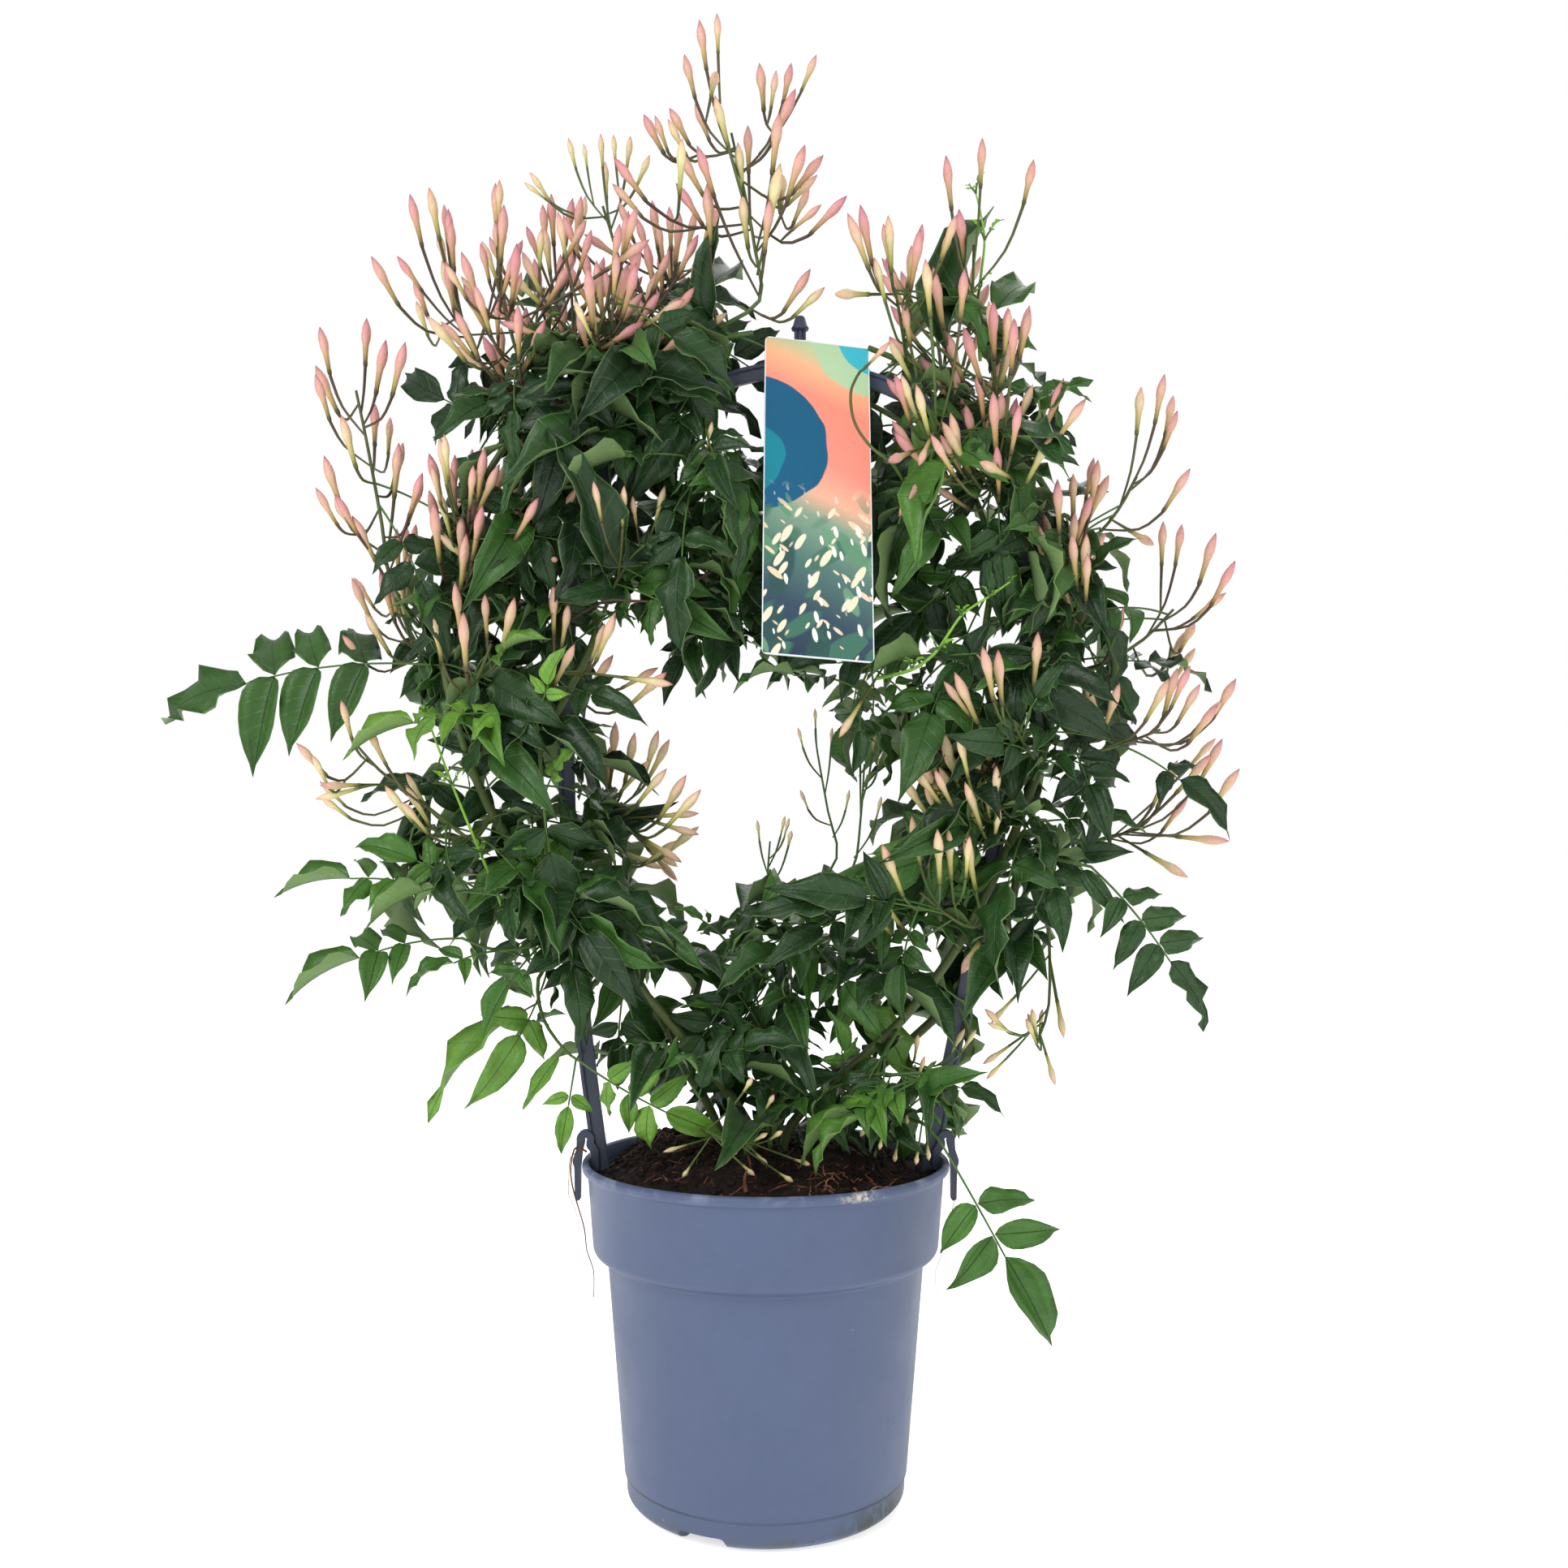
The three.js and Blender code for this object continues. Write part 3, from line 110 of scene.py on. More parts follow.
# What grows on them, as it stands in the front elevation: a stem, x, z, y by place; cymes of bud
# tips, x, z; leaves, each with how far along its stem it leaves, its tip x, z, its pairs of side
# leaflets and the depth of its tip; and what only the dressed plant adds at its sides.
GROWTH = {
    "spray_top": {"on": "left_outer", "stem": [-3, 556, -20, -5, 580, -21, -10, 607, -18,
      -16, 634, -12], "cymes": [[-31, 690], [-38, 671, -23, 663], [12, 667, -3, 667], [-45, 646, -57, 643],
      [-71, 623, -39, 632], [27, 624, 8, 615], [38, 605], [-42, 611], [21, 571]],
      "leaves": [0.05, -21, 596, 0, -15], "side_buds": [14, 655, -33, 648, -13, 630, 6, 616, -11, 606]},
    "spray_top_young": {"on": "left_outer", "size": 0.72, "stem": [-68, 540, 18, -65, 560, 27,
      -71, 584, 30, -76, 600, 30], "cymes": [[-77, 634], [-92, 632], [-63, 633], [-110, 616]],
      "side_buds": [-75, 621, -54, 624]},
    "spray_crest_far": {"on": "left_outer", "stem": [-124, 508, 12, -135, 532, 15, -146, 556, 15],
      "cymes": [[-166, 606], [-148, 599], [-184, 577], [-164, 566], [-149, 575]],
      "leaves": [0.1, -168, 520, 1, 30], "side_buds": [-157, 609, -150, 601, -147, 594, -172, 577,
      -151, 575]},
    "spray_crest_left": {"on": "left_outer", "stem": [-110, 514, -12, -120, 545, -24, -126, 566, -27],
      "cymes": [[-142, 579], [-126, 611], [-116, 583], [-158, 549], [-132, 540]],
      "leaves": [0.05, -154, 490, 2, -18, 0.3, -95, 540, 1, -27], "side_buds": [-141, 564, -122, 601,
      -133, 583, -116, 580, -145, 552, -132, 538]},
    "spray_crest_back": {"on": "left_outer", "stem": [-96, 530, 33, -96, 548, 45, -97, 566, 51],
      "cymes": [[-104, 601], [-86, 605], [-108, 576], [-89, 583]], "leaves": [0.1, -118, 560, 1, 30],
      "side_buds": [-100, 606, -90, 604, -84, 605, -103, 590, -108, 574]},
    "spray_crest_front": {"on": "left_outer", "stem": [-80, 532, -30, -76, 548, -42, -72, 562, -45],
      "cymes": [[-64, 598], [-83, 572], [-60, 574], [-88, 550]], "leaves": [0.1, -104, 512, 2, -24,
      0.2, -50, 524, 1, -21], "side_buds": [-68, 592, -60, 600, -83, 566, -79, 575, -64, 574, -86, 548,
      -70, 540]},
    "spray_crest_right": {"on": "left_outer", "stem": [-48, 548, 15, -45, 560, 27, -40, 574, 33],
      "cymes": [[-53, 603], [-40, 597], [-24, 600], [-28, 580], [-60, 558]],
      "leaves": [0.05, -12, 566, 1, 33], "side_buds": [-45, 600, -56, 584, -44, 584, -33, 598, -22, 600,
      -30, 580, -60, 556]},
    "spray_left": {"on": "left_outer", "stem": [-162, 404, -9, -175, 426, -15, -179, 452, -18,
      -186, 490, -15, -191, 514, -12], "cymes": [[-208, 544], [-186, 548], [-168, 537], [-210, 522],
      [-206, 484], [-201, 464], [-182, 508], [-169, 490], [-160, 474]], "side_buds": [-177, 538, -210, 526,
      -198, 503, -201, 466, -193, 456, -171, 490, -160, 476]},
    "spray_left_low": {"on": "left_outer", "stem": [-160, 392, 12, -168, 406, 21, -174, 420, 27],
      "cymes": [[-168, 452], [-180, 430], [-193, 427], [-187, 411]], "leaves": [0.02, -283, 356, 3, 6],
      "tone": 0.32, "side_buds": [-172, 450, -163, 452, -167, 438, -178, 428, -192, 427]},
    "spray_left_inner": {"on": "left_outer", "stem": [-140, 424, -21, -138, 440, -30, -141, 456, -33],
      "cymes": [[-152, 493], [-131, 488], [-136, 466], [-157, 468]], "leaves": [0.2, -112, 446, 1, -18],
      "side_buds": [-157, 485, -150, 494, -147, 478, -124, 480, -136, 468, -155, 462]},
    "spray_left_heart": {"on": "left_inner", "stem": [-112, 428, 3, -113, 444, -6, -112, 452, -12],
      "cymes": [[-114, 492], [-120, 466], [-99, 476], [-97, 435]], "leaves": [0.3, -142, 440, 1, 21],
      "side_buds": [-116, 492, -108, 486, -103, 472, -97, 476]},
    "spray_left_face": {"on": "left_outer", "tone": 0.6, "stem": [-136, 376, -33, -131, 388, -45,
      -128, 396, -48], "cymes": [[-145, 425], [-156, 412], [-117, 418]],
      "leaves": [0.1, -122, 338, 1, -18], "side_buds": [-141, 411],
      "side_leaves": [0.6, -100, 398, 1, -12]},
    "spray_left_gap": {"on": "left_inner", "stem": [-101, 376, -21, -96, 382, -27, -86, 383, -30],
      "cymes": [[-70, 411], [-99, 424], [-71, 391], [-46, 383]], "leaves": [0.5, -54, 358, 1, -15],
      "side_buds": [-89, 396, -50, 385, -43, 377]},
    "spray_gap_left": {"on": "left_inner", "stem": [-90, 308, 3, -78, 312, -3, -67, 322, -6],
      "cymes": [[-70, 360], [-50, 356], [-37, 335], [-31, 311], [-41, 292]],
      "leaves": [0.3, -40, 322, 0, -15], "side_buds": [-61, 355, -54, 342, -46, 338, -31, 317, -31, 307,
      -39, 294, -48, 291]},
    "spray_reach": {"on": "left_outer", "size": 0.8, "stem": [-137, 305, -24, -150, 314, -27,
      -168, 328, -33, -180, 337, -36, -190, 348, -36], "cymes": [[-198, 370], [-219, 350], [-208, 330],
      [-168, 330]], "leaves": [0.2, -150, 290, 1, 18], "side_buds": [-186, 358, -208, 332, -208, 325,
      -171, 323, -168, 336]},
    "spray_tag_left": {"on": "left_inner", "tone": 0.1, "ripe": 0.72, "stem": [-70, 424, -24,
      -63, 436, -33], "cymes": [[-66, 470], [-47, 470]], "leaves": [0.6, -103, 500, 0, -18,
      1, -40, 448, 1, -12], "side_leaves": [0.3, -66, 404, 1, -15]},
    "spray_right_high": {"on": "right_outer", "stem": [92, 526, 6, 96, 552, 0, 97, 582, -3],
      "cymes": [[84, 624], [101, 632], [125, 622], [78, 572]], "leaves": [0.1, 107, 600, 0, 36],
      "side_buds": [90, 599, 78, 570]},
    "spray_right_crest": {"on": "right_outer", "stem": [62, 552, -21, 60, 562, -24],
      "cymes": [[44, 601], [57, 596], [72, 590], [32, 559]], "side_buds": [68, 582, 73, 592]},
    "spray_right_back": {"on": "right_outer", "tone": 0.4, "stem": [80, 538, 36, 78, 548, 45],
      "cymes": [[56, 576], [88, 582], [104, 564]], "leaves": [0.4, 124, 560, 1, 30], "side_buds": [54, 576,
      63, 570, 84, 580, 92, 574, 104, 562]},
    "spray_right_shoulder": {"on": "right_outer", "stem": [108, 504, -9, 106, 518, -15],
      "cymes": [[106, 556], [123, 552], [84, 542], [72, 530]], "leaves": [0.1, 152, 509, 2, 15,
      0.4, 66, 512, 1, -21], "side_buds": [104, 556, 113, 553, 123, 554, 116, 540, 92, 544, 82, 540]},
    "spray_right_inner": {"on": "right_inner", "stem": [106, 470, -21, 108, 480, -27],
      "cymes": [[110, 514], [139, 520], [134, 494], [86, 504]], "leaves": [0.3, 136, 470, 1, -18,
      0.3, 72, 454, 1, -18], "side_buds": [106, 514, 117, 511, 134, 495, 93, 508, 82, 500]},
    "spray_tag_right": {"on": "right_inner", "stem": [84, 492, -15, 78, 490, -33],
      "cymes": [[57, 481], [60, 522], [66, 462]], "side_buds": [56, 520, 63, 522]},
    "spray_far_right_top": {"on": "right_outer", "stem": [152, 446, 12, 164, 458, 12, 173, 474, 12],
      "cymes": [[175, 516], [190, 512], [198, 478], [181, 442]], "leaves": [0.2, 168, 420, 1, 24],
      "side_buds": [186, 522, 192, 505]},
    "spray_right_mid": {"on": "right_outer", "stem": [138, 422, -21, 139, 432, -27],
      "cymes": [[155, 482], [136, 473], [148, 458], [127, 452]], "leaves": [0.3, 176, 446, 2, -18,
      0.3, 112, 408, 1, -21], "side_buds": [153, 483, 160, 475, 144, 458, 152, 466]},
    "spray_far_right": {"on": "right_outer", "stem": [156, 386, 6, 176, 398, 12, 190, 412, 15],
      "cymes": [[194, 452], [210, 448], [219, 435], [200, 406], [167, 413]],
      "leaves": [0.3, 207, 374, 1, 15], "side_buds": [215, 420, 199, 404]},
    "spray_right_out": {"on": "right_outer", "stem": [150, 346, -15, 168, 350, -18, 184, 356, -21],
      "cymes": [[221, 380], [211, 368], [192, 385], [165, 378]], "leaves": [0.7, 217, 305, 1, -9,
      0.3, 160, 300, 2, -21], "side_buds": [213, 370, 198, 386, 188, 380, 147, 379]},
    "spray_right_low": {"on": "right_outer", "stem": [136, 300, 6, 155, 304, 12, 175, 310, 15],
      "cymes": [[213, 352], [221, 338], [192, 342], [219, 304], [197, 287]],
      "leaves": [0.3, 150, 262, 1, 15], "side_buds": [214, 352, 208, 345, 190, 340, 197, 325]},
    "spray_gap_right": {"on": "right_inner", "stem": [104, 312, -21, 98, 318, -27],
      "cymes": [[98, 352], [80, 350], [63, 334]], "leaves": [0.5, 60, 300, 1, -15], "side_buds": [104, 350,
      94, 352, 82, 350, 72, 343], "side_leaves": [0.3, 128, 282, 1, -18]},
    "spray_gap_low": {"on": "right_inner", "stem": [97, 264, -33, 84, 270, -40, 72, 280, -44],
      "cymes": [[68, 316], [85, 310], [54, 303], [48, 283], [91, 242]], "leaves": [0.2, 116, 228, 1, -12],
      "side_buds": [80, 310, 93, 308]},
    "spray_right_face": {"on": "right_outer", "stem": [120, 350, -36, 115, 360, -45],
      "cymes": [[127, 402], [101, 395], [88, 383]], "leaves": [0.5, 82, 352, 1, -12, 0.2, 146, 330, 2, -15,
      0.8, 140, 388, 1, -6], "side_buds": [104, 396, 98, 392]},
    "spray_hang": {"on": "right_outer", "size": 0.72, "stem": [130, 290, -3, 132, 262, 0, 132, 228, 0,
      126, 209, -3], "cymes": [[102, 226], [124, 226], [139, 212], [135, 190], [101, 200]],
      "side_buds": [105, 219, 122, 224, 129, 226, 139, 213]},
    "shoot_opening_middle": {"on": "centre", "size": 0.4, "stem": [33, 296, 14, 29, 318, 12,
      24, 346, 12, 23, 356, 12], "cymes": [[23, 366], [15, 357], [31, 357], [16, 328], [39, 328]]},
    "shoot_opening_right": {"on": "centre", "size": 0.45, "stem": [40, 290, 5, 44, 312, 5,
      46, 340, 5], "cymes": [[44, 356], [54, 344], [54, 325]], "side_buds": [51, 355]},
    "shoot_opening_left": {"on": "centre", "size": 0.4, "stem": [3, 266, 16, 1, 286, 14, 2, 304, 14],
      "cymes": [[-4, 314], [11, 315]], "side_buds": [9, 316, 12, 309]},
    "spray_soil": {"on": "left_outer", "size": 0.5, "stem": [-12, 170, -30, -22, 166, -48,
      -31, 170, -57], "cymes": [[-48, 159], [-14, 158]], "leaves": [0.3, -22, 149, 0, -16],
      "bud_size": 0.3, "side_buds": [-39, 147, -13, 163, 1, 168, 8, 169, 13, 145, -5, 148, 1, 153, 21, 153,
      4, 186, -6, 194]},
    "spray_soil_right": {"on": "right_inner", "size": 0.6, "stem": [70, 192, -6, 82, 198, -9],
      "cymes": [[71, 214], [93, 217], [98, 190]], "leaves": [0.6, 112, 175, 1, -6]},
    "shoot_left_front": {"on": "left_outer", "tone": 0.72, "stem": [-102, 290, -34, -104, 330, -41,
      -107, 362, -44], "leaves": [1, -197, 342, 3, -7, 0.98, -92, 396, 1, -9, 0.4, -88, 310, 1, -2],
      "side_leaves": [0.35, -118, 300, 1, -2, 0.7, -84, 350, 1, -5]},
    "shoot_left_low": {"on": "left_outer", "tone": 0.46, "stem": [-102, 258, -28, -124, 253, -34,
      -142, 259, -39], "leaves": [1, -224, 228, 2, -12, 0.75, -168, 232, 1, -16],
      "side_leaves": [0.5, -132, 212, 1, -5]},
    "shoot_left_mid": {"on": "left_outer", "tone": 0.5, "stem": [-122, 286, -32, -138, 281, -39,
      -150, 280, -41], "leaves": [1, -229, 278, 2, -5, 0.7, -191, 302, 1, 5, 0.6, -187, 262, 1, -16]},
    "shoot_left_drop": {"on": "left_outer", "tone": 0.66, "stem": [-98, 250, -39, -106, 240, -46,
      -104, 222, -51, -94, 207, -54, -86, 201, -55], "leaves": [1, -18, 166, 3, -16, 0.4, -140, 178, 1, -2,
      0.6, -157, 172, 0, 2, 0.95, -96, 158, 1, -2], "side_leaves": [0.85, -113, 178, 0, 0]},
    "shoot_base_left": {"on": "left_inner", "stem": [-40, 200, -23, -33, 188, -37, -30, 183, -41],
      "leaves": [0.9, -18, 216, 0, 5, 0.5, 21, 206, 2, -5, 0.3, -64, 178, 1, -16]},
    "shoot_soil_right": {"on": "right_outer", "stem": [52, 196, -30, 70, 196, -41, 82, 194, -46],
      "leaves": [0.9, 23, 147, 2, -16, 0.98, 76, 164, 0, -9], "bud_size": 0.3, "side_buds": [53, 160,
      60, 154, 70, 153, 76, 155, 66, 172, 44, 166], "side_leaves": [0.4, 48, 158, 1, -14]},
    "shoot_over_rim": {"on": "right_outer", "tone": 0.45, "stem": [64, 176, -34, 74, 172, -53,
      82, 163, -64], "leaves": [1, 133, 68, 2, -9], "side_leaves": [0.5, 104, 196, 1, -7]},
    "shoot_right_droop": {"on": "right_outer", "tone": 0.24, "stem": [132, 298, -25, 144, 294, -32,
      152, 292, -34], "leaves": [1, 205, 216, 3, -7, 0.8, 168, 266, 0, -5, 0.4, 140, 252, 1, -9]},
    "shoot_centre_low": {"on": "centre", "tone": 0.4, "stem": [18, 254, -2, 34, 262, -16,
      50, 272, -23, 60, 277, -25], "leaves": [1, 12, 253, 1, -12, 0.95, 55, 240, 0, -7,
      0.8, 91, 252, 1, -9, 0.45, 57, 211, 1, -12], "side_leaves": [0.4, -13, 281, 1, 5,
      0.3, 22, 225, 0, -9]},
    "shoot_centre_left": {"on": "centre", "stem": [1, 240, 2, -10, 250, -5, -20, 259, -9],
      "leaves": [1, -44, 273, 1, -7, 0.75, 18, 272, 1, -14], "side_leaves": [0.6, -18, 230, 1, -5]},
    "shoot_centre_base": {"on": "centre", "stem": [2, 212, 5, -6, 218, -5, -14, 222, -9],
      "leaves": [1, -40, 226, 1, -7, 0.4, 30, 214, 1, -12], "side_leaves": [0.6, -30, 250, 1, 5,
      0.7, -12, 190, 1, -12]},
    "shoot_top": {"tone": 0.12, "on": "left_inner", "stem": [-28, 498, -21, -30, 484, -28,
      -34, 470, -30], "cymes": [[-25, 500]], "leaves": [0.2, -58, 478, 1, -9, 0.7, 6, 480, 0, 16,
      0.95, -12, 438, 1, -5], "side_leaves": [1, -50, 438, 1, -9]},
    "shoot_opening_top": {"tone": 0.1, "on": "left_inner", "stem": [-36, 484, 12, -38, 454, 16,
      -32, 426, 12, -28, 406, 7], "leaves": [1, -48, 367, 1, -7, 0.98, 10, 374, 1, -9,
      0.7, 2, 408, 1, -12], "side_leaves": [0.75, -52, 402, 1, -9, 0.5, -4, 434, 1, 7]},
    "shoot_opening_side": {"on": "right_inner", "stem": [84, 390, -16, 62, 389, -21, 44, 384, -23,
      44, 372, -24], "leaves": [1, 40, 334, 1, -7, 0.75, 76, 356, 1, -9, 0.4, 84, 420, 1, -7],
      "side_buds": [34, 352], "side_leaves": [0.95, 56, 330, 1, 7]},
}

VINE_LEAVES = {
    "vine_left_outer": {"from": 0.2, "to": 0.95, "pairs": 2, "length": 60},
    "vine_left_inner": {"from": 0.2, "to": 0.95, "pairs": 2, "length": 54},
    "vine_right_outer": {"from": 0.2, "to": 0.95, "pairs": 2, "length": 60},
    "vine_right_inner": {"from": 0.2, "to": 0.95, "pairs": 2, "length": 54},
}
# Shoots that only the dressed plant has, on a main stem: their lines, x, z, y by place, the length
# of the small leaves on them, and the tip of a bud at the end.
YOUNG_SHOOTS = [
    {"on": "left_outer", "line": [-118, 262, -24, -132, 296, -34, -146, 330, -40, -158, 362, -42],
        "leaf": 13},
    {"on": "left_inner", "line": [-93, 406, -16, -74, 416, -30, -50, 416, -36, -30, 427, -34,
        -8, 440, -30]},
    {"on": "right_outer", "line": [100, 528, 8, 99, 556, 8, 102, 584, 4, 98, 606, 2], "leaf": 15},
    {"on": "right_inner", "line": [52, 380, -30, 68, 384, -44, 80, 393, -50, 91, 409, -52,
        104, 418, -52, 114, 425, -50], "leaf": 11},
    {"on": "right_inner", "line": [64, 472, -34, 59, 480, -50, 50, 487, -56, 43, 496, -60,
        40, 505, -62, 40, 515, -62, 44, 523, -60], "bud": [58, 537, -56]},
]

# Front elevation, x, z by corner: where the wreath's middle is open, and how far its leaves reach.
OPEN_MIDDLE = [-92, 394, -73, 414, -49, 418, -46, 378, -28, 368, 8, 370, 35, 380, 44, 373, 35, 344,
    44, 327, 51, 299, 25, 286, 3, 294, -15, 286, -17, 269, -35, 274, -58, 272, -66, 288, -58, 314,
    -73, 333, -79, 359, -92, 375]
LEAFY_EDGE = [-145, 503, -130, 524, -92, 530, -54, 545, -24, 552, 1, 534, 55, 530, 78, 545,
    112, 534, 146, 515, 148, 484, 152, 454, 157, 427, 164, 390, 172, 360, 160, 312, 142, 277, 132, 252,
    112, 235, 97, 193, 93, 159, 59, 151, -16, 151, -54, 182, -96, 182, -111, 212, -153, 250, -168, 284,
    -175, 310, -145, 333, -153, 367, -168, 393, -145, 439, -122, 473, -141, 490]
TAG_FACE = [-6, 382, -6, 550, 57, 546, 57, 380]
# A bud or a leaf nearer than the first depth would hide the tag, and a leaf nearer than the second
# would hide what the bare fronts show.
TAG_DEPTH, FRONT_DEPTH = 4, -4
# Before these, buds or bare stems stand and no filling leaf does.
BARE_FRONTS = [
    [57, 540, 75, 560, 112, 548, 122, 520, 112, 488, 82, 478, 57, 478],
    [-140, 545, -92, 560, -30, 570, -14, 552, -35, 536, -92, 532, -130, 530],
    [62, 222, 92, 262, 106, 276, 112, 252, 84, 212],
    [-128, 262, -112, 262, -146, 345, -164, 345],
    [-152, 363, -138, 363, -119, 314, -86, 272, -98, 272, -133, 314],
]
# Nothing but stalks and buds is in here, at any depth, so that the knob on the hoop stands clear.
OPEN_TOP = [-24, 540, -24, 600, 60, 600, 56, 532, 0, 532]

# What fills the band between the main stems: how many leaves, how deep it is, and their lengths.
FOLIAGE = {"count": 390, "front": -58, "back": 48, "outline": LEAFY_EDGE}
FILLING = Named(short=54, long=98, tries=14)
# Small outlines where leaves hang close before the hoop.
PATCHES = [
    {"count": 8, "front": -40, "back": -8, "outline": [-40, 520, -14, 518, -14, 498, -40, 498]},
    {"count": 7, "front": -44, "back": -10, "outline": [-60, 432, -14, 432, -6, 404, -40, 396]},
    {"count": 9, "front": -10, "back": 40, "outline": [-146, 388, -104, 388, -104, 326, -142, 326]},
    {"count": 10, "front": -34, "back": -8, "outline": [110, 428, 134, 428, 134, 348, 110, 348]},
    {"count": 6, "front": -30, "back": 30, "outline": [-150, 388, -120, 388, -118, 340, -150, 340]},
]
# Each twig's own leaves: stems of this size and more bear them, and filling leaves too.
TWIG_LEAVES = Named(count=2, length=54, stem=0.6)

# Where buds crowd together: how many more stand there, how deep it is, the sprays that their long
# stalks leave, and the outline.
CROWDS = [
    {"count": 9, "scale": 1.12, "front": -36, "back": 4, "from": "top",
        "outline": [-62, 655, -34, 672, 16, 664, 22, 634, 34, 606, 6, 600, -46, 608, -66, 628]},
    {"count": 78, "front": -50, "back": 46,
        "from": "crest_left crest_back crest_front crest_right crest_far",
        "outline": [-145, 571, -126, 596, -92, 600, -54, 597, -28, 587, -16, 552, -35, 535, -92, 532,
            -130, 545]},
    {"count": 34, "front": -64, "back": 16,
        "from": "right_crest right_back right_shoulder right_inner tag_right",
        "outline": [43, 597, 78, 583, 89, 597, 97, 564, 122, 552, 135, 522, 131, 492, 112, 484, 78, 469,
            56, 480, 56, 515, 57, 545]},
    {"count": 20, "front": -50, "back": 10, "from": "left_inner left_heart",
        "outline": [-151, 484, -130, 492, -92, 484, -96, 454, -122, 435, -153, 446]},
    {"count": 9, "front": -45, "back": 0, "from": "right_mid",
        "outline": [124, 462, 161, 458, 154, 424, 131, 424]},
    {"count": 16, "front": -55, "back": -5, "from": "gap_right right_face",
        "outline": [67, 356, 90, 359, 116, 344, 112, 318, 78, 314, 65, 333]},
]
# How far these buds reach from their seats, at least and at most.
LONG_STALKS = (42, 76)
# A bud's stalk: its radius at its seat and under the calyx.
STALK_RADII = (0.5, 0.78)
# How many buds have a second one beside them, how far apart the tips are, and how many have one
# at the wreath's right edge.
SISTERS = Named(share=0.65, apart=13, sparse_from=150, sparse=0.2)
# Inside the wreath, buds get younger from this height down, and some are young everywhere.
YOUNG_BUDS = Named(below=500, over=180, left=-160, right=165, strewn=0.16)
# Between these places across the wreath the stalks of buds are less brown.
GREENER = Named(left=36, right=140, share=0.5)
# How much a bud turns upwards from the way of its stalk, and how much of its depth a bud keeps that
# is given its own turn, so that few of them point at the viewer.
RISE = 0.8
SIDE_ON = 0.35
# Cymes leave their stem at golden steps along it, and one that leaves above its tip counts as this
# many millimetres worse.
GOLDEN = 0.618
TOO_HIGH = 12


# -------------------- places and random draws

# How far inside the frame's box buds and leaves end, so that their bends and waves stay in it.
BOX_MARGIN = 2.8
PRIME = 2 ** 31 - 1
state = 7919
chance = random.Random(24)
vary = chance.uniform


def draw(low, high):
    """Park and Miller's generator, as the frame's own plant was drawn with."""
    global state
    state = state * 48271 % PRIME
    return low + (high - low) * state / PRIME


def clamp(value):
    return min(max(value, 0), 1)


def in_groups(values, size):
    """A flat row of numbers in groups of a size."""
    return list(zip(*[iter(values)] * size))


def at(x, z, y=0.0):
    """A place of the front elevation, at a depth behind the hoop."""
    scale = (EYE.distance + y) / EYE.distance
    return Vector((x * scale, y, EYE.height + (z - EYE.height) * scale))


def deeper(point, shift):
    """Moves a place along the line of sight, so that the front elevation keeps it."""
    scale = (EYE.distance + point.y + shift) / (EYE.distance + point.y)
    z = EYE.height + (point.z - EYE.height) * scale
    return Vector((point.x * scale, point.y + shift, z))


def elevation(point):
    scale = EYE.distance / (EYE.distance + point.y)
    return point.x * scale, EYE.height + (point.z - EYE.height) * scale


def inside(outline, point):
    """Whether a place lies in an outline of the front elevation, at any depth."""
    x, z = elevation(point)
    within = False
    corners = in_groups(outline, 2)
    for (x0, z0), (x1, z1) in zip(corners, corners[1:] + corners[:1]):
        if (z0 > z) != (z1 > z) and x < x0 + (x1 - x0) * (z - z0) / (z1 - z0):
            within = not within
    return within


def held(point):
    """A place brought inside the frame's box."""
    return Vector([min(max(part, least / MM + BOX_MARGIN), most / MM - BOX_MARGIN)
        for part, least, most in zip(point, *cad_box)])


def tag_turn():
    """How the tag hangs: a pitch, then a roll, then a yaw, about its middle."""
    pitch, roll, yaw = (math.radians(angle) for angle in (TAG.pitch, TAG.roll, TAG.yaw))
    return Matrix.Rotation(yaw, 3, "Z") @ Matrix.Rotation(pitch, 3, "X") @ Matrix.Rotation(roll, 3, "Y")


def crosses_tag(start, end):
    """Whether a straight line from one place to the other goes through the tag's card."""
    before, behind = (tag_turn().transposed() @ (place - Vector(TAG.middle)) for place in (start, end))
    if before.y * behind.y >= 0:
        return False
    meet = before.lerp(behind, before.y / (before.y - behind.y))
    return abs(meet.x) < TAG.width / 2 + 1 and abs(meet.z) < TAG.height / 2 + 1


def spline(points):
    """A line through points, rounded by a point of the smooth curve halfway along each stretch."""
    line = [points[0]]
    for i in range(len(points) - 1):
        before = points[max(i - 1, 0)]
        after = points[min(i + 2, len(points) - 1)]
        line.append((points[i] + points[i + 1]) * (9 / 16) - (before + after) / 16)
        line.append(points[i + 1])
    return line


def along(line, fraction):
    place = fraction * (len(line) - 1)
    i = min(max(math.floor(place), 0), len(line) - 2)
    return line[i].lerp(line[i + 1], place - i)


def distance_from(name):
    """Tells how far a place is from a CAD node's corners, and so how the frame's plant was set."""
    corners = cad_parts[name].data.vertices
    tree = KDTree(len(corners))
    for i, corner in enumerate(corners):
        tree.insert(corner.co / MM, i)
    tree.balance()
    return lambda point: tree.find(point)[2]


# -------------------- stems

# The depths and turns that the frame tried a stem, a bud or a leaf in, and how near is a match.
NEAR = 0.06
STEM_SHIFTS = [0, -7, 7, -14, 14, -21, 21, -30, 30]
BUD_SHIFTS = [0, -7, 7, -14, 14, -22, 22, -32, 32]
LEAF_SHIFTS = [0, -12, 12, -24, 24, -38, 38]
LEAF_ROLLS = [0, 0.6, -0.6]

# Each plant node: the line of its stem, its size, and what grows on it.
plants = {}


def new_plant(path, size=1, distance=None):
    return Named(path=path, size=size, distance=distance, stalks=[], buds=[], leaflets=[])


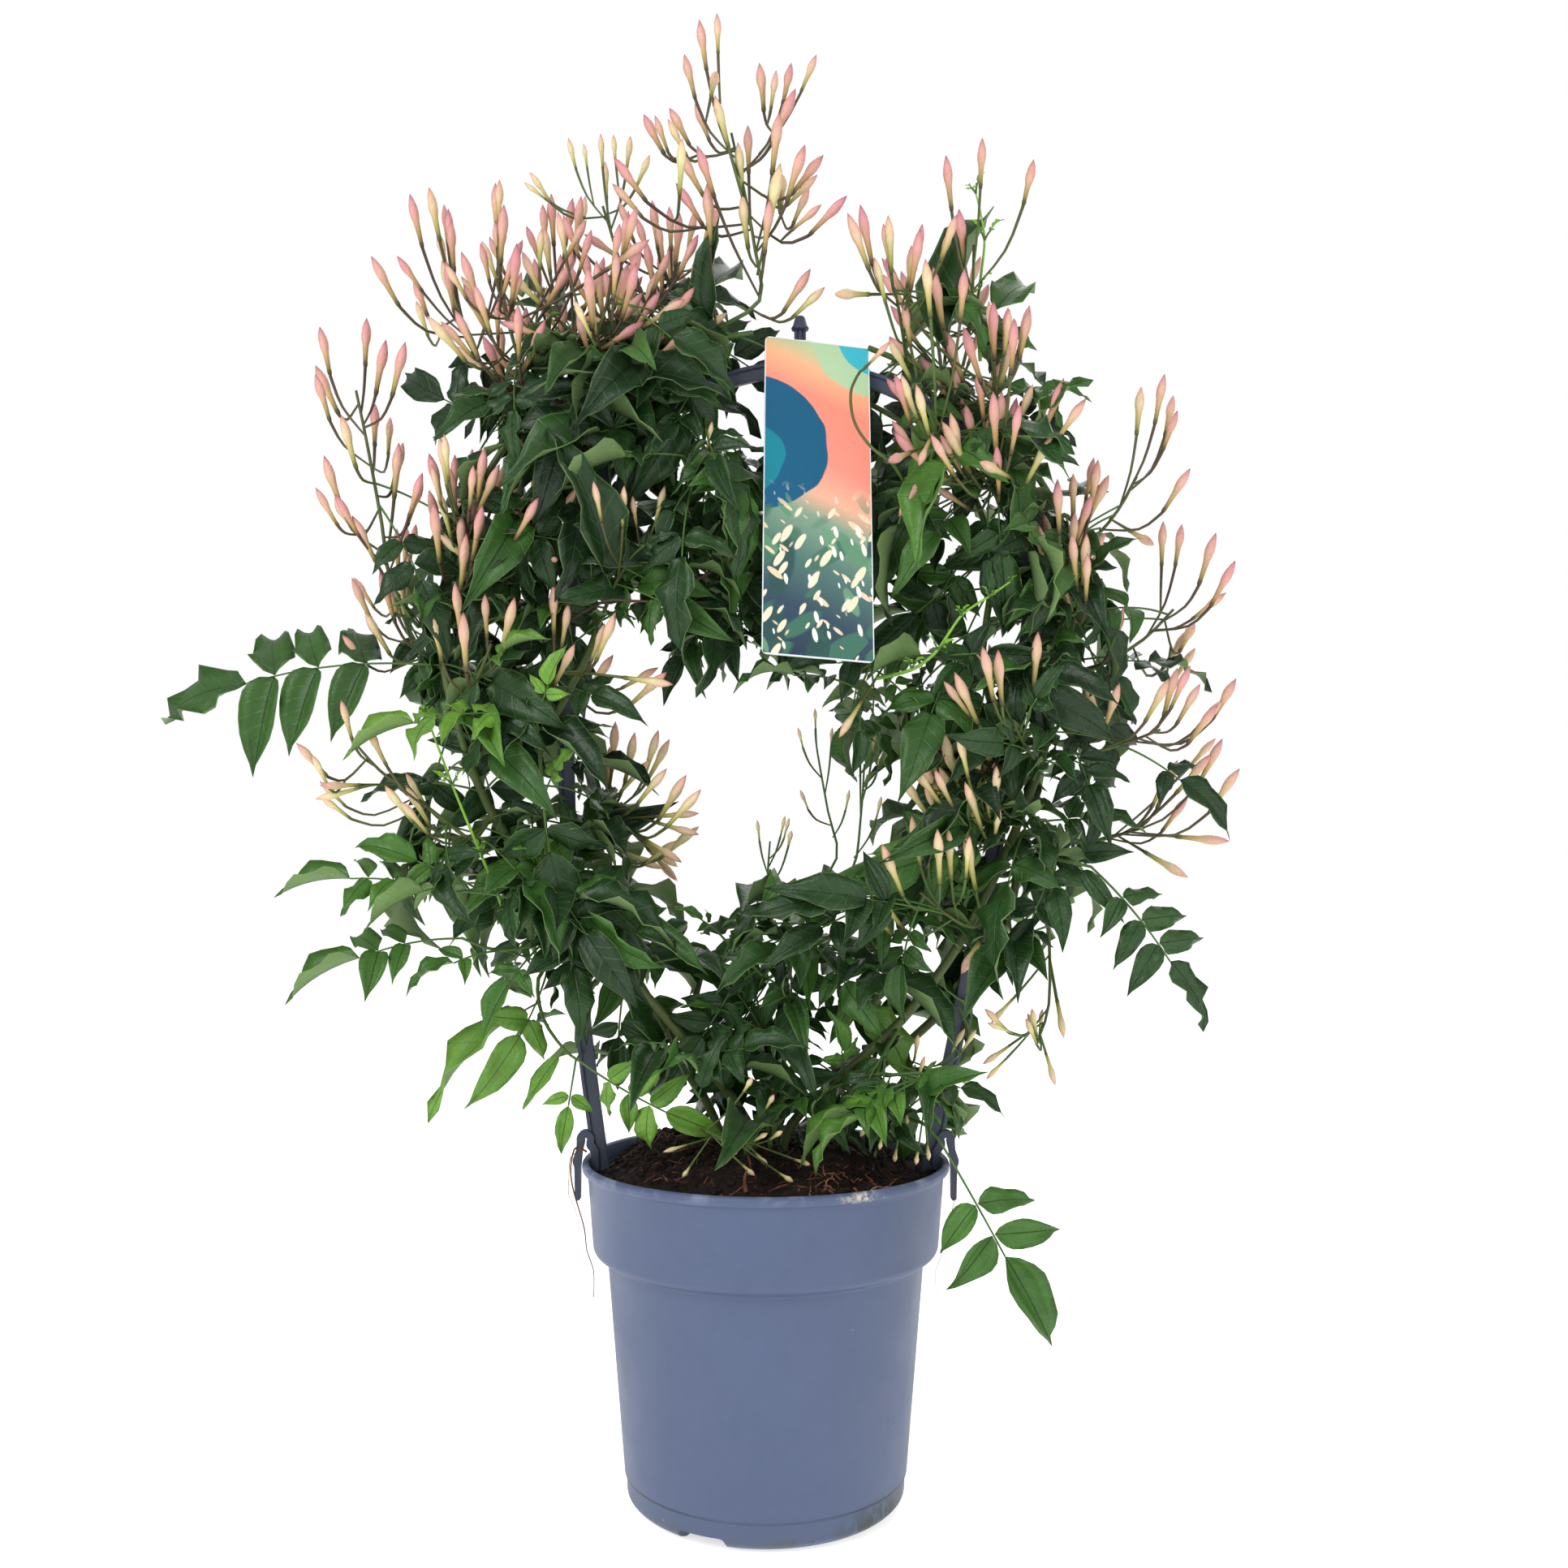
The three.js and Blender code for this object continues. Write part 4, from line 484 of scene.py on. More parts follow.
def add_stalk(plant, line, girths, tints):
    """A round stalk through points: its radius and its tint, 0 green and 1 brown, at both ends."""
    plant.stalks.append((line, girths, tints))


def grow_vine(name, vine):
    path = spline([at(*place) for place in in_groups(vine["line"], 3)])
    plants[name] = new_plant(path, distance=distance_from(name))
    add_stalk(plants[name], path, vine["radii"], (0.3, 0.12))


def stem_line(entry, shift):
    """A stem leaves its vine square to it, with a gap, and then runs from place to place."""
    vine = "vine_" + entry["on"]
    path = plants[vine].path
    places = [at(x, z, y + shift) for x, z, y in in_groups(entry["stem"], 3)]
    near = min(range(1, len(path) - 1), key=lambda i: (path[i] - places[0]).length)
    ahead = (path[near + 1] - path[near - 1]).normalized()
    out = places[0] - path[near]
    out = (out - ahead * out.dot(ahead)).normalized()
    foot, end = VINES[vine]["radii"]
    start = path[near] + out * (foot + (end - foot) * near / (len(path) - 1) + SHOOT.gap)
    return [start, start + out * SHOOT.straight, *places]


def grow_stem(name, entry):
    size = entry.get("size", 1)
    radius = SHOOT.slim if size < 0.5 else SHOOT.radius
    distance = distance_from(name)

    def misfit(shift):
        path = stem_line(entry, shift)
        last = len(path) - 1
        girths = [radius * (1 - SHOOT.taper * i / last) for i in range(last)]
        return sum(min(abs(distance(p) - g), 1) for p, g in zip(path, girths))

    path = stem_line(entry, min(STEM_SHIFTS, key=misfit))
    plants[name] = new_plant(path, size, distance)
    brown = 0.45 if name.startswith("spray") else 0.1
    add_stalk(plants[name], path, (radius, 0.55 * radius), (0.05, brown))


# -------------------- buds


def seat_of(line, tip, size, order):
    """Where a cyme leaves its stem: where the distance suits a stalk and a bud."""
    wanted = BUD.reach * math.sqrt(size)
    share = 0.12 + 0.68 * ((order * GOLDEN) % 1)
    seats = [line[i + 1].lerp(line[i + 2], share) for i in range(len(line) - 2)]
    return min(seats, key=lambda s: abs((s - tip).length - wanted) + (TOO_HIGH if s.z > tip.z else 0))


def bud_line(seat, tip, scale, rise):
    """A stalk that curves up from its seat to the calyx, and the way and length of its bud."""
    away = tip - seat
    lift = RISE if rise is None else rise
    ahead = away.normalized() + Vector((0, 0, lift if away.z > 0 else 0))
    if rise is not None:
        ahead.y *= SIDE_ON
    ahead.normalize()
    length = min(BUD.length * scale, 0.75 * away.length)
    calyx = tip - ahead * length
    bend = calyx - ahead * 0.45 * (calyx - seat).length
    middle = seat.lerp(calyx, 0.5).lerp(bend, 0.5)
    return [seat, middle, calyx], ahead, length


def add_bud(plant, seat, tip, scale, tone, rise=None):
    line, ahead, length = bud_line(seat, held(tip), scale, rise)
    if crosses_tag(seat, tip):
        return line
    stout = 0.55 + 0.45 * scale
    girths = (STALK_RADII[0] * stout, STALK_RADII[1] * stout)
    brown = GREENER.share if GREENER.left < tip.x < GREENER.right else 1
    add_stalk(plant, line, girths, ((0.5 - 0.4 * tone) * brown, (0.95 - 0.75 * tone) * brown))
    plant.buds.append({"place": line[2], "ahead": ahead, "length": length, "tone": tone})
    return line


def bud_tone(size, tip):
    """How young a bud looks, 0 full pink and 1 cream and green: younger low in the wreath."""
    if chance.random() < YOUNG_BUDS.strewn:
        return vary(0.45, 0.95)
    x, z = elevation(tip)
    low = clamp((YOUNG_BUDS.below - z) / YOUNG_BUDS.over)
    if not YOUNG_BUDS.left < x < YOUNG_BUDS.right:
        low *= 0.3
    return clamp(0.85 * max(clamp((1 - size) / 0.35), 0.7 * low) + vary(-0.02, 0.3))


def add_sister(plant, line, tip, scale):
    """A second, shorter bud that forks off a bud's stalk and stands beside it."""
    apart = Vector((vary(-1, 1), vary(-1, 1), vary(-0.9, 0.1)))
    place = tip + apart.normalized() * SISTERS.apart * plant.size * vary(0.7, 1.3)
    if inside(TAG_FACE, place) and place.y < TAG_DEPTH:
        return
    fork = line[0].lerp(line[1], vary(0.6, 1.0))
    add_bud(plant, fork, place, scale * vary(0.76, 1.0), bud_tone(plant.size - 0.1, place), vary(0, RISE))


def grow_buds(plant, entry):
    """The first bud of a cyme springs from the stem, and the others from the middle of its stalk."""
    size, ripe = plant.size, entry.get("ripe", 1)
    for order, cyme in enumerate(entry.get("cymes", [])):
        fork = None
        for x, z in in_groups(cyme, 2):
            scale = size * draw(0.92, 1.06)
            first = at(x, z, plant.path[-1].y + draw(-32, 32) * size)
            tips = [deeper(first, shift) for shift in BUD_SHIFTS]
            known = [tip for tip in tips if plant.distance(tip) < NEAR]
            tip = known[0] if known else first
            seat = fork or seat_of(plant.path, tip, size, order)
            line = add_bud(plant, seat, tip, scale * ripe, bud_tone(size * ripe, tip))
            if known and not fork:
                fork = line[1].lerp(line[2], 0.3)
            share = SISTERS.sparse if x > SISTERS.sparse_from else SISTERS.share
            if chance.random() < share and size > 0.5:
                add_sister(plant, line, tip, scale * ripe)


def grow_side_buds(plant, entry):
    size = entry.get("bud_size", plant.size)
    for order, (x, z) in enumerate(in_groups(entry.get("side_buds", []), 2)):
        tip = at(x, z, plant.path[-1].y + vary(-26, 26) * size)
        seat = seat_of(plant.path, tip, size, order + 0.5)
        add_bud(plant, seat, tip, size * vary(0.8, 1.1), bud_tone(size, tip), vary(0, RISE))


def emptiest(band, tries, others, allowed):
    """Of a few places drawn in a band's outline, the one that is farthest from the others."""
    xs, zs = band["outline"][::2], band["outline"][1::2]
    places = []
    for _ in range(tries):
        place = at(vary(min(xs), max(xs)), vary(min(zs), max(zs)), vary(band["front"], band["back"]))
        if inside(band["outline"], place) and allowed(place):
            places.append(place)
    # Depth is counted half.
    return max(places, default=None, key=lambda place: min((Vector((1, 0.5, 1)) * (place - other)).length
        for other in others))


def crowd_buds():
    """Buds on long stalks that fan out from the sprays below them."""
    tips = [bud["place"] + bud["ahead"] * bud["length"] for p in plants.values() for bud in p.buds]
    for crowd in CROWDS:
        sprays = [plants["spray_" + place] for place in crowd["from"].split()]
        seats = [(spray, along(spray.path, i / 12)) for spray in sprays for i in range(1, 12)]
        for _ in range(crowd["count"]):
            tip = emptiest(crowd, 10, tips, lambda place: place.y > TAG_DEPTH
                or not inside(TAG_FACE, place))
            if not tip:
                continue
            wanted = vary(*LONG_STALKS)
            scale = crowd.get("scale", 0.9) * vary(0.86, 1.14)

            def strain(seat):
                steep = max(0, seat[1].z + 25 - tip.z) + 0.9 * abs(seat[1].y - tip.y)
                return abs((seat[1] - tip).length - wanted) + steep

            spray, seat = min(seats, key=strain)
            add_bud(spray, seat, tip, scale, bud_tone(1, tip), vary(0, RISE))
            tips.append(tip)


# -------------------- leaves


def leaf_frame(base, tip, roll):
    """A leaf bends along a circle from its base to its tip, its face turned to the normal."""
    length = (tip - base).length
    chord = (tip - base).normalized()
    normal = Vector((0, -0.7, 0.72))
    normal = (normal - chord * normal.dot(chord)).normalized()
    normal.rotate(Matrix.Rotation(roll, 3, chord))
    side = normal.cross(chord)
    radius = length / (2 * math.sin(LEAF.arch / 2))
    lift = radius * math.cos(LEAF.arch / 2)

    def bow(u):
        angle = (u - 0.5) * LEAF.arch
        return normal * math.cos(angle) + chord * math.sin(angle)

    def place(u, v=0.0, w=0.0):
        angle = (u - 0.5) * LEAF.arch
        point = base + chord * (length / 2 + radius * math.sin(angle))
        point += normal * (radius * math.cos(angle) - lift)
        return point + side * v + bow(u) * (w - LEAF.cup * v * v)

    return place, bow, length


def add_leaflet(plant, base, tip, facing, wide, tone, blade):
    if crosses_tag(base, tip):
        return
    way = held(tip) - base
    facing = facing.copy()
    facing.rotate(Matrix.Rotation(vary(-0.35, 0.35), 3, way.normalized()))
    plant.leaflets.append({"place": base, "ahead": way.normalized(), "facing": facing,
        "length": way.length, "wide": wide * vary(0.9, 1.15), "tone": clamp(tone + vary(-0.05, 0.05)),
        "blade": blade})


def add_leaf(plant, base, tip, pairs, roll, tone):
    """A compound leaf: its stalk, opposite leaflets along it and a long one at its end."""
    place, bow, length = leaf_frame(base, tip, roll)
    terminal = 0.42 + 0.06 * pairs if pairs else 0.12
    stalk = [place(terminal * i / 4) for i in range(5)]
    half = LEAF.rachis / 2
    add_stalk(plant, stalk, (half, 0.7 * half), (0.05, 0.0))
    end = 0.185 if pairs else 0.14
    reach = (1 - terminal) * length
    add_leaflet(plant, place(terminal), place(1), bow((1 + terminal) / 2), end * reach, tone, "end")
    for i in range(pairs):
        seat = terminal - 0.14 * (pairs - i) + 0.04
        long = (0.3 - 0.03 * (pairs - 1 - i)) * vary(0.92, 1.06)
        for side in (1, -1):
            out = place(seat + 0.42 * long, side * 0.9 * long * length)
            foot = place(seat, side * 0.6)
            add_leaflet(plant, foot, out, bow(seat), 0.225 * long * length, tone, "side")


def set_leaf(plant, base, tip, pairs, tone):
    """Finds the pose that the frame gave a leaf, among those that it was tried in."""
    roll = draw(-0.45, 0.45)
    for shift in LEAF_SHIFTS:
        for turn in LEAF_ROLLS:
            place, _, _ = leaf_frame(base, deeper(tip, shift), roll + turn)
            ends = [place(1, 0, w * LEAF.thickness / 2) for w in (1, -1)]
            if all(plant.distance(end) < NEAR for end in ends):
                add_leaf(plant, base, deeper(tip, shift), pairs, roll + turn, tone)
                return
    if not any(inside(OPEN_MIDDLE, point) for point in (tip, base.lerp(tip, 0.6))):
        add_leaf(plant, base, tip, pairs, roll, tone)


def leaf_tone(place, known=None):
    """How bright a leaf's green is, 0 the darkest and 1 a new shoot's, in patches and lower down."""
    drawn = 0.06 + 0.4 * chance.random() ** 2.2 + 0.2 * noise.noise(place * 0.02)
    low = clamp((WREATH_MIDDLE - place.z) / 200)
    return clamp(drawn + 0.16 * low if known is None else known)


def grow_leaves(plant, entry, kind):
    """A stem's leaves as the frame set them, or its side leaves, which only the dressed plant has."""
    for fraction, x, z, pairs, y in in_groups(entry.get(kind, []), 5):
        tip = at(x, z, plant.path[-1].y + y)
        seat = along(plant.path, min(fraction, 0.99))
        if kind == "leaves":
            set_leaf(plant, seat, tip, pairs, leaf_tone(tip, entry.get("tone")))
        else:
            add_leaf(plant, seat, tip, pairs, vary(-0.4, 0.4), leaf_tone(tip, entry.get("tone")))


def grow_vine_leaves(plant, entry):
    """Opposite leaves straight on a vine, each pair turned a quarter from the last."""
    for i in range(entry["pairs"]):
        fraction = entry["from"] + (entry["to"] - entry["from"]) * (i + 0.5) / entry["pairs"]
        seat = along(plant.path, fraction)
        ahead = (along(plant.path, fraction + 0.02) - along(plant.path, fraction - 0.02)).normalized()
        outward = Vector((seat.x - ARCH.middle, 0, 0.4 * (seat.z - WREATH_MIDDLE))).normalized()
        for side in (1, -1):
            across = Vector((0, side, 0)) if i % 2 else outward * side
            reach = across + ahead * 0.5 + outward * 0.35
            reach += Vector((draw(-0.3, 0.3), draw(-0.3, 0.3), -draw(0.1, 0.7)))
            tip = seat + reach.normalized() * entry["length"] * draw(0.8, 1.2)
            set_leaf(plant, seat, tip, 1, leaf_tone(tip))


def off_the_tag(points):
    """Whether a filling leaf stays off the tag's face, and behind the buds and bare stems."""
    hidden = any(point.y < TAG_DEPTH and inside(TAG_FACE, point) for point in points)
    return not hidden and not any(point.y < FRONT_DEPTH and inside(front, point)
        for front in BARE_FRONTS for point in points)


def off_the_knob(seat, tip):
    return not any(inside(OPEN_TOP, seat.lerp(tip, share)) for share in (0.1, 0.35, 0.6, 1))


def is_free(points):
    """Whether a filling leaf keeps to the wreath's band and off the tag's face."""
    return off_the_tag(points) and all(inside(LEAFY_EDGE, point) and not inside(OPEN_MIDDLE, point)
        for point in points)


def fill_band(band, free):
    """Leaves hung from the stems, each into the emptiest of a few places in the band's outline."""
    stems = [plant for plant in plants.values() if plant.size > TWIG_LEAVES.stem]
    seats = [(plant, along(plant.path, i / 24)) for plant in stems for i in range(2, 24)]
    middles = [leaflet["place"] for plant in plants.values() for leaflet in plant.leaflets]
    for _ in range(band["count"]):
        tip = emptiest(band, FILLING.tries, middles, lambda place: free([place]))
        if not tip:
            continue
        wanted = vary(FILLING.short, FILLING.long)

        def strain(seat):
            rise = max(0, tip.z + 12 - seat[1].z)
            return abs((seat[1] - tip).length - wanted) + 0.6 * rise + vary(0, 18)

        plant, seat = min(seats, key=strain)
        too_long = (tip - seat).length > 1.2 * FILLING.long
        if too_long or not free([tip, seat.lerp(tip, 0.6)]) or not off_the_knob(seat, tip):
            continue
        add_leaf(plant, seat, tip, chance.choice((1, 1, 2)), vary(-0.8, 0.8), leaf_tone(tip))
        middles.append(seat.lerp(tip, 0.75))


def fill_twig(plant):
    """A few leaves at the foot of a spray or a leafy shoot."""
    for i in range(TWIG_LEAVES.count):
        seat = along(plant.path, 0.5 * (i + chance.random()) / TWIG_LEAVES.count)
        for _ in range(8):
            reach = Vector((chance.gauss(0, 1), chance.gauss(0, 0.75), chance.gauss(-0.25, 0.8)))
            tip = seat + reach.normalized() * TWIG_LEAVES.length * vary(0.7, 1.25)
            if is_free([tip, seat.lerp(tip, 0.55)]) and off_the_knob(seat, tip):
                add_leaf(plant, seat, tip, 1, vary(-0.9, 0.9), leaf_tone(tip))
                break


def grow_young_shoot(shoot):
    """A slim bright shoot with a pair of small leaves at each place on its way, or a bare one."""
    plant = plants["vine_" + shoot["on"]]
    places = [at(*place) for place in in_groups(shoot["line"], 3)]
    line = spline(places)
    if "leaf" not in shoot:
        add_stalk(plant, line, (0.7, 0.6), (0.1, 0.5) if "bud" in shoot else (0.8, 0.9))
        if "bud" in shoot:
            add_bud(plant, line[-1], at(*shoot["bud"]), 1.1, 0.3, 0)
        return
    add_stalk(plant, line, (0.9, 0.4), (-0.3, -0.4))
    for i, seat in enumerate(places[1:]):
        ahead = (seat - places[i]).normalized()
        for side in (1, -1):
            out = Vector((side, -0.4, 0.5)) if i % 2 else Vector((0.5 * side, -side, 0.5))
            tip = seat + (out + 0.4 * ahead).normalized() * shoot["leaf"] * (1 - 0.15 * i)
            add_leaf(plant, seat, tip, 1, vary(-0.3, 0.3), 0.92)


for name, vine in VINES.items():
    grow_vine(name, vine)
for name, entry in GROWTH.items():
    grow_stem(name, entry)
for name, entry in GROWTH.items():
    grow_buds(plants[name], entry)
for name, entry in GROWTH.items():
    grow_leaves(plants[name], entry, "leaves")
for name, entry in VINE_LEAVES.items():
    grow_vine_leaves(plants[name], entry)
for name, entry in GROWTH.items():
    grow_side_buds(plants[name], entry)
    grow_leaves(plants[name], entry, "side_leaves")
for name in GROWTH:
    if plants[name].size > TWIG_LEAVES.stem:
        fill_twig(plants[name])
for shoot in YOUNG_SHOOTS:
    grow_young_shoot(shoot)
crowd_buds()
fill_band(FOLIAGE, is_free)
for patch in PATCHES:
    fill_band(patch, off_the_tag)


# -------------------- node helpers and shared effects


def display(red, green, blue):
    """A colour as a screen shows it, 0 to 255, brought to the linear values that shaders take."""
    linear = []
    for channel in (red, green, blue):
        share = channel / 255
        linear.append(share / 12.92 if share < 0.04045 else ((share + 0.055) / 1.055) ** 2.4)
    return (*linear, 1.0)


def add(tree, kind, inputs=None, **settings):
    """A new node: inputs are set by name or number, with a value or with another node's output."""
    made = tree.nodes.new(kind)
    for key, value in settings.items():
        setattr(made, key, value)
    for key, value in (inputs or {}).items():
        if isinstance(value, Flow):
            tree.links.new(value.socket, made.inputs[key])
        else:
            made.inputs[key].default_value = value
    return made


class Flow:
    """A node's output: each method adds a node to its tree, fed by it, and gives that one's output."""

    def __init__(self, socket):
        self.socket = socket
        self.tree = socket.id_data

    def into(self, kind, key=0, inputs=None, output=0, **settings):
        made = add(self.tree, kind, {key: self, **(inputs or {})}, **settings)
        return Flow(made.outputs[output])

    def maths(self, operation, *others):
        return self.into("ShaderNodeMath", 0, dict(enumerate(others, 1)), operation=operation)

    def __add__(self, other):
        return self.maths("ADD", other)

    def __sub__(self, other):
        return self.maths("SUBTRACT", other)

    def __mul__(self, other):
        return self.maths("MULTIPLY", other)

    def __lt__(self, other):
        return self.maths("LESS_THAN", other)

    def __gt__(self, other):
        return self.maths("GREATER_THAN", other)

    def __abs__(self):
        return self.maths("ABSOLUTE")

    def span(self, low, high, to_low=0.0, to_high=1.0, **settings):
        """Brings a value from one range to another, and holds it there."""
        inputs = {"From Min": low, "From Max": high, "To Min": to_low, "To Max": to_high}
        return self.into("ShaderNodeMapRange", "Value", inputs, **settings)

    def colours(self, *steps):
        """Colours met in turn as the value goes from 0 to 1, each a place and what a screen shows."""
        made = add(self.tree, "ShaderNodeValToRGB", {0: self})
        stops = made.color_ramp.elements
        while len(stops) < len(steps):
            stops.new(0.5)
        for stop, (place, *colour) in zip(stops, steps):
            stop.position = place
            stop.color = display(*colour)
        return Flow(made.outputs["Color"])

    def axis(self, number):
        return self.into("ShaderNodeSeparateXYZ", output=number)

    def stretched(self, scale):
        """The same place with its axes drawn out, for marks that run one way."""
        return self.into("ShaderNodeMapping", "Vector", {"Scale": scale})

    def grain(self, scale, detail=4.0, roughness=0.55):
        inputs = {"Scale": scale, "Detail": detail, "Roughness": roughness}
        return self.into("ShaderNodeTexNoise", "Vector", inputs, "Fac")

    def near(self, centre, reach, soft):
        """A mask that is 1 within a blob of the given reaches, in millimetres, and fades at its edge."""
        blob = self.into("ShaderNodeMapping", "Vector", {"Scale": [1 / (part * MM) for part in reach],
            "Location": [-part / wide for part, wide in zip(centre, reach)]})
        away = blob.into("ShaderNodeVectorMath", output="Value", operation="LENGTH")
        return away.span(1.0 - soft, 1.0, 1.0, 0.0)

    def effect(self, name, **inputs):
        """Runs a shared effect at this place."""
        return self.into("ShaderNodeGroup", "Vector", inputs, node_tree=EFFECTS[name])


def blend(factor, low, high):
    """Goes from one colour to another, each a node's output or what a screen shows."""
    colours = [display(*colour) if isinstance(colour, tuple) else colour for colour in (low, high)]
    tree = next(value.tree for value in (factor, *colours) if isinstance(value, Flow))
    inputs = {0: factor, 6: colours[0], 7: colours[1]}
    return Flow(add(tree, "ShaderNodeMix", inputs, data_type="RGBA").outputs[2])


def attribute(tree, name):
    return Flow(add(tree, "ShaderNodeAttribute", attribute_name=name).outputs["Fac"])


def object_place(tree):
    return Flow(add(tree, "ShaderNodeTexCoord").outputs["Object"])


def new_group(name, family, inputs, output, kind):
    """A group with named inputs, by kind, and one output: it, its inputs, and how to end it."""
    group = bpy.data.node_groups.new(name, family + "NodeTree")
    for socket, sort in inputs.items():
        group.interface.new_socket(socket, in_out="INPUT", socket_type="NodeSocket" + sort)
    group.interface.new_socket(output, in_out="OUTPUT", socket_type="NodeSocket" + kind)
    start, end = group.nodes.new("NodeGroupInput"), group.nodes.new("NodeGroupOutput")
    return group, {socket: Flow(start.outputs[socket]) for socket in inputs}, end.inputs[output]


def make_mottle():
    """Soft patches of light and dark over a colour, large and small together."""
    kinds = {"Vector": "Vector", "Colour": "Color", "Scale": "Float", "Strength": "Float"}
    group, given, end = new_group("mottle", "Shader", kinds, "Colour", "Color")
    place, scale = given["Vector"], given["Scale"]
    both = place.grain(scale, 3) * 0.65 + place.grain(scale * 7.3, 2) * 0.35
    factor = both.span(0.3, 0.7, -1.0, 1.0).maths("MULTIPLY_ADD", given["Strength"], 1.0)
    lit = given["Colour"].into("ShaderNodeVectorMath", 0, {3: factor}, operation="SCALE")
    group.links.new(lit.socket, end)
    return group


def make_specks():
    """Small round marks scattered over a surface: how many of the cells hold one is the share."""
    kinds = {"Vector": "Vector", "Scale": "Float", "Size": "Float", "Share": "Float"}
    group, given, end = new_group("specks", "Shader", kinds, "Mask", "Float")
    cells = add(group, "ShaderNodeTexVoronoi", {"Vector": given["Vector"], "Scale": given["Scale"]})
    shade = add(group, "ShaderNodeSeparateColor", {0: Flow(cells.outputs["Color"])})
    size = given["Size"] * (Flow(shade.outputs[1]) + 0.3)
    near = Flow(cells.outputs["Distance"]).span(0.0, size, 1.0, 0.0, interpolation_type="SMOOTHSTEP")
    group.links.new((near * (Flow(shade.outputs[0]) < given["Share"])).socket, end)
    return group


def make_scuffs():
    """Fine scratches that run across and up a moulded wall."""
    kinds = {"Vector": "Vector", "Scale": "Float", "Amount": "Float"}
    group, given, end = new_group("scuffs", "Shader", kinds, "Mask", "Float")
    place, scale = given["Vector"], given["Scale"]
    level = place.stretched((1, 1, 14)).grain(scale, 5, 0.7).span(0.62, 0.74)
    upright = place.stretched((9, 9, 0.7)).grain(scale, 5, 0.7).span(0.64, 0.76)
    patches = place.grain(14, 2).span(0.45, 0.7)
    kept = level.maths("MAXIMUM", upright) * patches * given["Amount"]
    group.links.new(kept.socket, end)
    return group


EFFECTS = {"mottle": make_mottle(), "specks": make_specks(), "scuffs": make_scuffs()}
MATERIALS = {}


def finish(specular, depth, name=None):
    """Makes a material from a recipe that gives its colour, roughness and relief of a depth in metres."""

    def bake(recipe):
        key = name or recipe.__name__
        material = bpy.data.materials.new(key)
        material.use_nodes = True
        tree = material.node_tree
        shader = tree.nodes["Principled BSDF"]
        shader.inputs["Specular IOR Level"].default_value = specular
        colour, roughness, height = recipe(tree, object_place(tree))
        bump = height.into("ShaderNodeBump", "Height", {"Strength": 1.0, "Distance": depth})
        for socket, value in (("Base Color", colour), ("Roughness", roughness), ("Normal", bump)):
            tree.links.new(value.socket, shader.inputs[socket])
        MATERIALS[key] = material
        return recipe

    return bake


# -------------------- the plant's finishes


@finish(0.32, 0.00035)
def leaf_blade(tree, place):
    """Glossy green with a sunk midrib darkened by painted shade, arched side veins and a painted highlight
    along the thin edge; duller beneath.
    """
    run, under = attribute(tree, "run"), attribute(tree, "under")
    cross = abs(attribute(tree, "cross"))
    green = attribute(tree, "tone").colours((0.0, 21, 43, 22), (0.25, 38, 70, 30),
        (0.5, 66, 110, 40), (0.75, 108, 154, 56), (1.0, 138, 192, 60))
    green = place.effect("mottle", Colour=green, Scale=70.0, Strength=0.22)
    beneath = blend(0.6, green, (126, 152, 96))
    slant = cross.maths("MULTIPLY_ADD", -0.16, run)
    veins = (slant * 44.0).maths("SINE").span(0.86, 1.0)
    midrib = cross.span(0.0, 0.06, 1.0, 0.0)
    veined = blend(veins * 0.1, green, (104, 142, 76))
    # Painted shade: the sunk midrib is darkened in the colour.
    midrib_shaded = blend(midrib * 0.6, veined, (24, 42, 20))
    # Painted highlight: a pale line along the blade's thin edge, where its rim catches the light.
    edge_highlighted = blend(cross.span(0.93, 1.0) * 0.35, midrib_shaded, (132, 164, 92))
    sunk = midrib.maths("MAXIMUM", veins * 0.4)
    relief = sunk.maths("MULTIPLY_ADD", -0.7, place.grain(900, 3) * 0.6)
    return blend(under, edge_highlighted, beneath), under.span(0.0, 1.0, 0.36, 0.62), relief


@finish(0.4, 0.00005)
def bud_skin(tree, place):
    """Furled petals: a dark calyx, a cream to tan tube and a rose tip, with streaks along them."""
    run, tone = attribute(tree, "run"), attribute(tree, "tone")
    grown = run.colours((0.0, 58, 42, 28), (0.09, 78, 64, 32), (0.13, 118, 98, 52),
        (0.24, 162, 132, 80), (0.4, 188, 142, 108), (0.5, 204, 150, 132), (0.62, 210, 146, 142),
        (0.8, 206, 138, 144), (0.93, 188, 116, 128), (1.0, 158, 84, 98))
    young = run.colours((0.0, 74, 84, 34), (0.1, 104, 116, 46), (0.16, 146, 154, 72),
        (0.4, 196, 194, 118), (0.62, 222, 214, 160), (0.84, 228, 198, 156), (1.0, 208, 152, 124))
    furl = run.maths("MULTIPLY_ADD", 1.4, attribute(tree, "around"))
    along_furl = (furl * 14.0).into("ShaderNodeCombineXYZ", 0, {1: run * 2.0, 2: tone})
    streak = along_furl.grain(2.0, 3)
    skin = blend(streak.span(0.5, 0.75, 0.0, 0.3), blend(tone, grown, young), (184, 110, 104))
    skin = place.effect("mottle", Colour=skin, Scale=160.0, Strength=0.1)
    relief = (furl * 31.4).maths("SINE") * 0.3 + streak
    return skin, streak.span(0.3, 0.7, 0.42, 0.58), relief


@finish(0.45, 0.00004)
def stalk_skin(tree, place):
    """Green where a stalk is young, and from olive to a purple brown towards the buds."""
    skin = attribute(tree, "tint").span(-0.4, 1.0).colours((0.0, 126, 178, 54), (0.28, 66, 102, 40),
        (0.5, 76, 88, 40), (0.72, 74, 60, 36), (1.0, 62, 42, 30))
    skin = place.effect("mottle", Colour=skin, Scale=110.0, Strength=0.25)
    ridges = place.stretched((9, 9, 1)).grain(120, 3)
    return skin, ridges.span(0.3, 0.7, 0.42, 0.6), ridges


# -------------------- pot, hoop, soil and tag finishes


